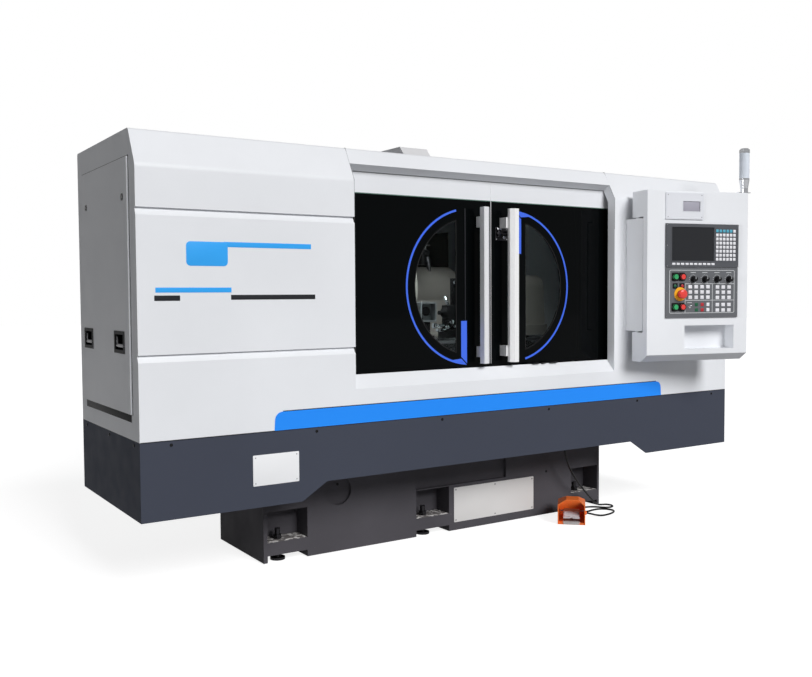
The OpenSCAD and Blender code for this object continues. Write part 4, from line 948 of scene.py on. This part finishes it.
# Fields of keys: each column's finish, the rows, the first key's middle and the pitch across and then
# up, and the width, height and face of a key.
KEY_FIELDS = (
    (["key"] * 6, 7, 343.5, 17.7, 1128.5, 17.4, 12.6, 12.4, UNIT_KEY_Y),
    (["teal_key"] * 5 + ["key"], 1, 343.5, 17.7, 1250.3, 0, 12.6, 12.4, UNIT_KEY_Y),
    (["key"] * 10, 1, 124.5, 22, 1107.5, 0, 16, 9, UNIT_KEY_Y),
    (["key"] * 4, 3, 210, 30, 965, 22.5, 18, 15, PANEL_KEY_Y),
    (["key"] * 3, 3, 349, 30, 963.5, 22.5, 18, 15, PANEL_KEY_Y),
    (["key"] * 3, 2, 349, 30, 909, 23.5, 18, 15, PANEL_KEY_Y),
    (["green_key", "red_key", "key"], 2, 242, 29.3, 911, 22.8, 15, 15, PANEL_KEY_Y),
)
KNOB_U = (225, 284, 346, 407)
KNOB_Z = 1043
BUTTON_U = {"green": 134, "red": 170}
BUTTON_Z = {"upper": 1053, "lower": 924}
SMALL_LAMP_Z = 1014
LAMP_U, LAMP_V = 503, 20


def on_box(name, finish, shapes, body="pendant"):
    """A piece in the control box's own millimetres."""
    return build(name, finish, shapes, body, PENDANT)


def ink_line(u0, z0, u1, z1, thickness=0.3):
    """The row for a raised line on the key panel."""
    return slab, (u0, PLATE_Y - thickness, z0), (u1, PLATE_Y, z1)


def tick_dial(bm, u, z):
    """Short lines round a knob, like those of a plain dial."""
    radius, ticks = 17.0, 13
    for i in range(ticks):
        before = set(bm.verts)
        length = 5.0 if i % 3 == 0 else 3.4
        slab(bm, (-0.8, PLATE_Y - 0.3, radius), (0.8, PLATE_Y, radius + length))
        turn = Matrix.Rotation(math.radians(-140 + 280 * i / (ticks - 1)), 4, "Y")
        move(bm, before, Matrix.Translation((u, 0, z)) @ turn)


class GRINDER_OT_control_panel(Task, bpy.types.Operator):
    """Makes the keys, lines, dials, pointers, gauge, bezels and screws of the control box"""

    bl_idname = "grinder.control_panel"
    bl_label = "Control panel"

    def execute(self, context):
        # keys, in their four colours, stand for the plain solids
        sets = {name: [] for name in ("key", "teal_key", "green_key", "red_key")}
        for finishes, rows, u0, du, z0, dz, width, height, face in KEY_FIELDS:
            for i, finish in enumerate(finishes):
                for j in range(rows):
                    u, z = u0 + i * du, z0 + j * dz
                    sets[finish].append((slab, (u - width / 2, face, z - height / 2),
                                         (u + width / 2, face + KEY_T, z + height / 2), 0.9))
        caps = [on_box(f"panel_{name}s", name, rows) for name, rows in sets.items()]
        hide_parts("cnc_keys")

        # frame line and divisions of the key panel, and the dials
        on_box("panel_lines", "line", [
            (frame_strip, 106, 897, 437, 1082, 2.2, PLATE_Y, 0.35, 5),
            ink_line(184, 897, 186.2, 1023, 0.35), ink_line(185, 1022, 435, 1024.2, 0.35),
            ink_line(322, 899, 324.2, 1023, 0.35), ink_line(185, 951, 435, 953.2, 0.35),
            *[(tick_dial, u, KNOB_Z) for u in KNOB_U],
            *[ink_line(u - 13, 1070, u + 13, 1072.5) for u in KNOB_U],
            ink_line(197, 941, 219, 943.2)])

        # small toggle switch
        on_box("panel_toggle", "chrome", [
            (turned, (208, PLATE_Y, 924), FRONT,
             [(0, 2.4), (3.4, 2.4), (4.2, 1.6), (6.2, 1.6), (6.2, 0)], 24),
            (drum, (208, PLATE_Y - 1, 924), (0, -0.8, 0.6), 1.9, 13.0, 0.8, 16)])

        for n, u in enumerate(KNOB_U, 1):
            on_box(f"knob_{n}_pointer", "line", [
                (slab, (u - 1.1, PLATE_Y - 20.9, KNOB_Z), (u + 1.1, PLATE_Y - 20.2, KNOB_Z + 9.5), 0.3)],
                f"knob_{n}")

        # gauge: blank plate round its small screen, with raised rims
        on_box("gauge_plate", "gauge", [
            (ring, rounded(87.6, 1297.6, 274.4, 1409.4, 1.5), rounded(172, 1332, 257, 1374, 0.8), -GAUGE_Y,
             front(0))])
        on_box("gauge_rims", "gauge", [
            (frame_strip, 92, 1302, 270, 1405, 1.2, GAUGE_Y, 0.4, 3),
            (frame_strip, 168.5, 1328.5, 260.5, 1377.5, 2.6, GAUGE_Y, 0.9, 1.5)])
        on_box("gauge_screen", "gauge_glass", [
            (slab, (172.6, -3.0, 1332.6), (256.4, -2.0, 1373.4), 0.3)])
        on_box("unit_bezel", "unit", [
            (frame_strip, 111, 1116, 332, 1269, 4.0, UNIT_Y, 1.6, 3),
            (frame_strip, 333, 1117, 444, 1264, 1.4, UNIT_Y, 0.6, 3)])

        fields = (((93, 449), UNIT_Y, (1099, 1186, 1274), 2.4), ((93, 449), PLATE_Y, (882, 985, 1088), 2.4),
                  ((97, 265), GAUGE_Y, (1307, 1400), 2.0))
        on_box("panel_screws", "zinc", [
            (screw_head, (u, face, z), FRONT, radius)
            for columns, face, rows, radius in fields for u in columns for z in rows])
        return {"FINISHED"}


class GRINDER_OT_buttons(Task, bpy.types.Operator):
    """Makes the bezels, backings, rings, small lamps and stop ring of the control box"""

    bl_idname = "grinder.buttons"
    bl_label = "Buttons and lamps"

    def execute(self, context):
        def rims(outline, sides, places, out=0.0):
            """The rows for rings of one outline, round their places."""
            return [(turned, (u, PLATE_Y - out, z), FRONT, outline, sides, True) for u, z in places]

        heads = [(u, z) for u in BUTTON_U.values() for z in BUTTON_Z.values()]
        lamps = [(u, SMALL_LAMP_Z) for u in BUTTON_U.values()]
        on_box("button_bezels", "gloss_black", [
            *rims([(13.6, 0), (16.8, 0), (16.8, 2.6), (15.6, 4.0), (13.6, 4.0)], 36, heads),
            *rims([(7.5, 0), (10.5, 0), (10.5, 1.8), (9.6, 2.6), (7.5, 2.6)], 30, lamps)])
        backings = []
        for u in (134, 167.6):
            backings += [rounded(u - 17, z - 18, u + 16, z + 18, 4) for z in BUTTON_Z.values()]
            backings.append(rounded(u - 12, 1002, u + 13, 1026, 3))
        on_box("button_backings", "black", [
            (plate, outline, 1.0, front(PLATE_Y), 0.4) for outline in backings])

        collar = [(11.0, -0.6), (13.9, -0.6), (13.9, 0.5), (13.2, 1.2), (11.6, 1.2), (11.0, 0.6)]
        for colour, u in BUTTON_U.items():
            for place, z in BUTTON_Z.items():
                on_box(f"{colour}_ring_{place}", "gloss_black",
                       rims(collar, 36, [(u, z)], 10.4), f"{colour}_button_{place}")

        dome = [(0, 4.6), (4.0, 4.2), (6.6, 2.8), (7.4, 0.6), (7.4, 0)]
        for name, colour in (("ready", "green"), ("fault", "red")):
            on_box(f"small_lamp_{name}", f"{colour}_key", [
                (turned, (BUTTON_U[colour], PLATE_Y, SMALL_LAMP_Z), FRONT, dome, 28)])

        on_box("stop_ring", "yellow", rims(
            [(17.0, 0), (29.5, 0), (29.5, 2.0), (28.0, 3.6), (18.6, 4.8), (17.0, 4.8)], 48, [(160, 979)]))
        return {"FINISHED"}


class GRINDER_OT_signal_lamp(Task, bpy.types.Operator):
    """Makes the ribs and rings of the signal lamp's lens and its collar"""

    bl_idname = "grinder.signal_lamp"
    bl_label = "Signal lamp"

    def execute(self, context):
        count = context.scene.grinder_details.lens_ribs
        radius, half = 20.2, 0.8
        ribs = []
        for i in range(count):
            a = math.tau * i / count
            u, v = LAMP_U + radius * math.cos(a), LAMP_V + radius * math.sin(a)
            ribs.append((slab, (u - half, v - half, 1486), (u + half, v + half, 1592)))
        ribs += [(turned, (LAMP_U, LAMP_V, z), UP, [(20, 0), (21.3, 0), (21.3, 2.2), (20, 2.2)], 40, True)
                 for z in (1520.6, 1557.2)]
        on_box("lamp_ribs", "lens", ribs)
        on_box("lamp_collar", "chrome", [
            (turned, (LAMP_U, LAMP_V, 1594), UP, [(20.6, 0), (22, 0.8), (22, 9), (20.6, 10)], 40, True)])
        return {"FINISHED"}


# ---- bed and foot switch ----------------------------------------------------


class GRINDER_OT_bed_fittings(Task, bpy.types.Operator):
    """Makes the blank plate with its screws, the floors of the pockets and the plugs of the bed"""

    bl_idname = "grinder.bed_fittings"
    bl_label = "Bed fittings"

    def execute(self, context):
        face = span("bed")[0].y
        plate_t = 1.5
        build("bed_blank_plate", "name_plate", [
            (plate, rounded(1375, 36, 1807, 181, 3), plate_t, front(face), 0.4)])
        build("bed_plate_screws", "zinc", [
            (screw_head, (x, face - plate_t, z), FRONT, 3.2) for x in (1384, 1591, 1798) for z in (45, 172)])
        build("pocket_floors", "worn_floor", [
            (plate, rounded(x + 1.5, face + 1, x + 161.5, face + 88.5, 3), 0.7,
             Matrix.Translation((0, 0, 77)), 0.2) for x in (533, 1187, 2032)])
        build("bed_plugs", "black", [
            (drum, (x, face, z), FRONT, 5.5, 2.0, 0.6, 20) for x, z in ((825, 261), (1882, 195))])
        return {"FINISHED"}


class GRINDER_OT_foot_switch(Task, bpy.types.Operator):
    """Makes the rivets of the foot switch's hood and the ribbed plate under its treadle"""

    bl_idname = "grinder.foot_switch"
    bl_label = "Foot switch fittings"

    def execute(self, context):
        build("hood_rivets", "zinc", [
            (drum, (u, 118, 34), out, 5.0, 1.4, 0.6, 24) for u, out in ((0, LEFT), (116, RIGHT))],
            "machine", FOOT)
        ribs = []
        for u in range(26, 98, 8):
            ribs += [(slab, (u - 1.6, 4, 9.0), (u + 1.6, 100, 10.6), 0.5),
                     (slab, (u - 1.6, 1.0, 0.6), (u + 1.6, 2.2, 9.6), 0.4)]
        build("sole_plate", "sole", [
            (slab, (22, 2.5, 8), (94, 104, 9.2), 0.3), *ribs,
            (slab, (24.4, 1.4, 0.6), (91.6, 2.6, 8.2), 0.3)], "machine", FOOT)
        return {"FINISHED"}


# ---- work zone --------------------------------------------------------------

NOZZLE_X = 1522
REST_Y, REST_Z = 354, 906


class GRINDER_OT_work_zone(Task, bpy.types.Operator):
    """Makes the fittings seen through the windows: nozzle, steady rest, gauge head and way wipers"""

    bl_idname = "grinder.work_zone"
    bl_label = "Work zone fittings"

    def execute(self, context):
        # coolant nozzle over the wheel's mouth, with its valve, bracket and hose
        build("nozzle_body", "dark_steel", [
            (turned, (NOZZLE_X, 640, 1150), (0, -0.35, -1),
             [(0, 0), (14, 0), (14, 26), (11, 30), (11, 44), (6, 58), (6, 64), (0, 64)], 28),
            (turned, (NOZZLE_X, 664, 1180), (0, 1, 0.25),
             [(0, -30), (12, -30), (12, 26), (15, 28), (15, 40), (0, 40)], 28),
            (slab, (1496, 640, 1120), (1509, 700, 1196), 1.5),
            (slab, (1500, 655, 1168), (NOZZLE_X, 690, 1192), 1.5)], "wheelhead")
        build("nozzle_valve", "zinc", [
            (drum, (NOZZLE_X, 655, 1180), UP, 5.0, 28.0, 0.8, 20),
            (slab, (1512, 651, 1206), (1548, 659, 1212), 1.5)], "wheelhead")
        hose("coolant_hose", [
            (NOZZLE_X, 702, 1189), (NOZZLE_X, 740, 1200), (1524, 800, 1196), (1535, 860, 1172),
            (1552, 905, 1150)], 11.0, "hose", "wheelhead")

        # steady rest: dark body on the table, two bright jaws and a locking knob on its arm
        build("steady_rest", "black", [
            (slab, (1402, 322, 800), (1464, 386, 834), 2.0),
            (slab, (1416, 330, 832), (1458, 378, 938), 3.0),
            (turned, (1418, REST_Y, REST_Z), LEFT, [(0, 0), (26, 0), (26, 6), (9, 24), (9, 34), (0, 34)], 28),
            (turned, (1456, REST_Y, REST_Z), RIGHT, [(0, 0), (30, 0), (30, 12), (22, 22), (0, 22)], 28),
            (slab, (1450, 340, 930), (1468, 364, 1052), 2.0)], "table")
        build("steady_jaws", "chrome", [
            (drum, (1434, REST_Y, 936), (0.0, 0.35, 0.5), 7.0, 46.0, 1.2, 24),
            (drum, (1430, 330, 866), FRONT, 10.0, 12.0, 1.2, 24),
            (drum, (1408, 330, 846), FRONT, 8.0, 10.0, 1.2, 24),
            (drum, (1446, 330, 848), FRONT, 6.0, 8.0, 1.2, 24),
            (drum, (1364, 348, 852), RIGHT, 7.0, 56.0, 1.2, 24),
            (drum, (1352, 348, 852), RIGHT, 12.0, 14.0, 1.6, 24),
            (slab, (1372, 336, 826), (1412, 360, 840), 1.6),
            (drum, (1459, 340, 1034), FRONT, 9.0, 8.0, 2.0, 28)], "table")

        # gauge head: an open-faced pale box on a dark bracket, with its dial inside
        build("gauge_head", "joint", [
            (slab, (1278, 366, 870), (1356, 372, 951), 1.5),
            (ring, rounded(1277, 869, 1357, 952, 3), rounded(1283, 875, 1351, 946, 2), 38.0, front(368))],
            "table")
        build("gauge_bracket", "dark_steel", [
            (drum, (1322, 366, 914), FRONT, 19.0, 12.0, 1.6, 32),
            (slab, (1288, 346, 880), (1300, 366, 940), 1.5),
            (slab, (1304, 340, 800), (1332, 368, 870), 2.0),
            (slab, (1292, 326, 800), (1344, 386, 812), 2.0)], "table")

        # wipers at the two ends of the table's ways
        low, high = span("table")
        build("way_wipers", "rubber", [
            (slab, (x, 292, 660), (x + 5, 510, 700), 1.0) for x in (low.x - 5, high.x)], "table")
        return {"FINISHED"}


# ---- panel and registration -------------------------------------------------

STEPS = (
    GRINDER_OT_finishes, GRINDER_OT_stage, GRINDER_OT_cable, GRINDER_OT_enclosure_trim,
    GRINDER_OT_rear_fittings, GRINDER_OT_side_fittings, GRINDER_OT_skirt_fittings, GRINDER_OT_doors,
    GRINDER_OT_control_panel, GRINDER_OT_buttons, GRINDER_OT_signal_lamp, GRINDER_OT_bed_fittings,
    GRINDER_OT_foot_switch, GRINDER_OT_work_zone,
)


class GRINDER_PT_panel(bpy.types.Panel):
    """Lists the grinder's sizes, colours and steps"""

    bl_idname = "GRINDER_PT_panel"
    bl_label = "Cylindrical grinder"
    bl_space_type = "VIEW_3D"
    bl_region_type = "UI"
    bl_category = "Grinder"

    def draw(self, context):
        for name, group in GROUPS.items():
            column = self.layout.box().column()
            for setting in group.__annotations__:
                column.prop(getattr(context.scene, name), setting)
        for step in STEPS:
            self.layout.operator(step.bl_idname)


GROUPS = {"grinder_paint": GrinderPaint, "grinder_details": GrinderDetails, "grinder_stage": GrinderStage}
CLASSES = (*GROUPS.values(), *STEPS, GRINDER_PT_panel)


def register():
    for cls in CLASSES:
        bpy.utils.register_class(cls)
    for name, group in GROUPS.items():
        setattr(bpy.types.Scene, name, PointerProperty(type=group))


def unregister():
    for name in GROUPS:
        delattr(bpy.types.Scene, name)
    for cls in reversed(CLASSES):
        bpy.utils.unregister_class(cls)


def main():
    register()
    bpy.ops.grinder.finishes()
    bpy.ops.grinder.stage()
    bpy.ops.grinder.cable()
    bpy.ops.grinder.enclosure_trim()
    bpy.ops.grinder.rear_fittings()
    bpy.ops.grinder.side_fittings()
    bpy.ops.grinder.skirt_fittings()
    bpy.ops.grinder.doors()
    bpy.ops.grinder.control_panel()
    bpy.ops.grinder.buttons()
    bpy.ops.grinder.signal_lamp()
    bpy.ops.grinder.bed_fittings()
    bpy.ops.grinder.foot_switch()
    bpy.ops.grinder.work_zone()


if __name__ == "__main__":
    main()
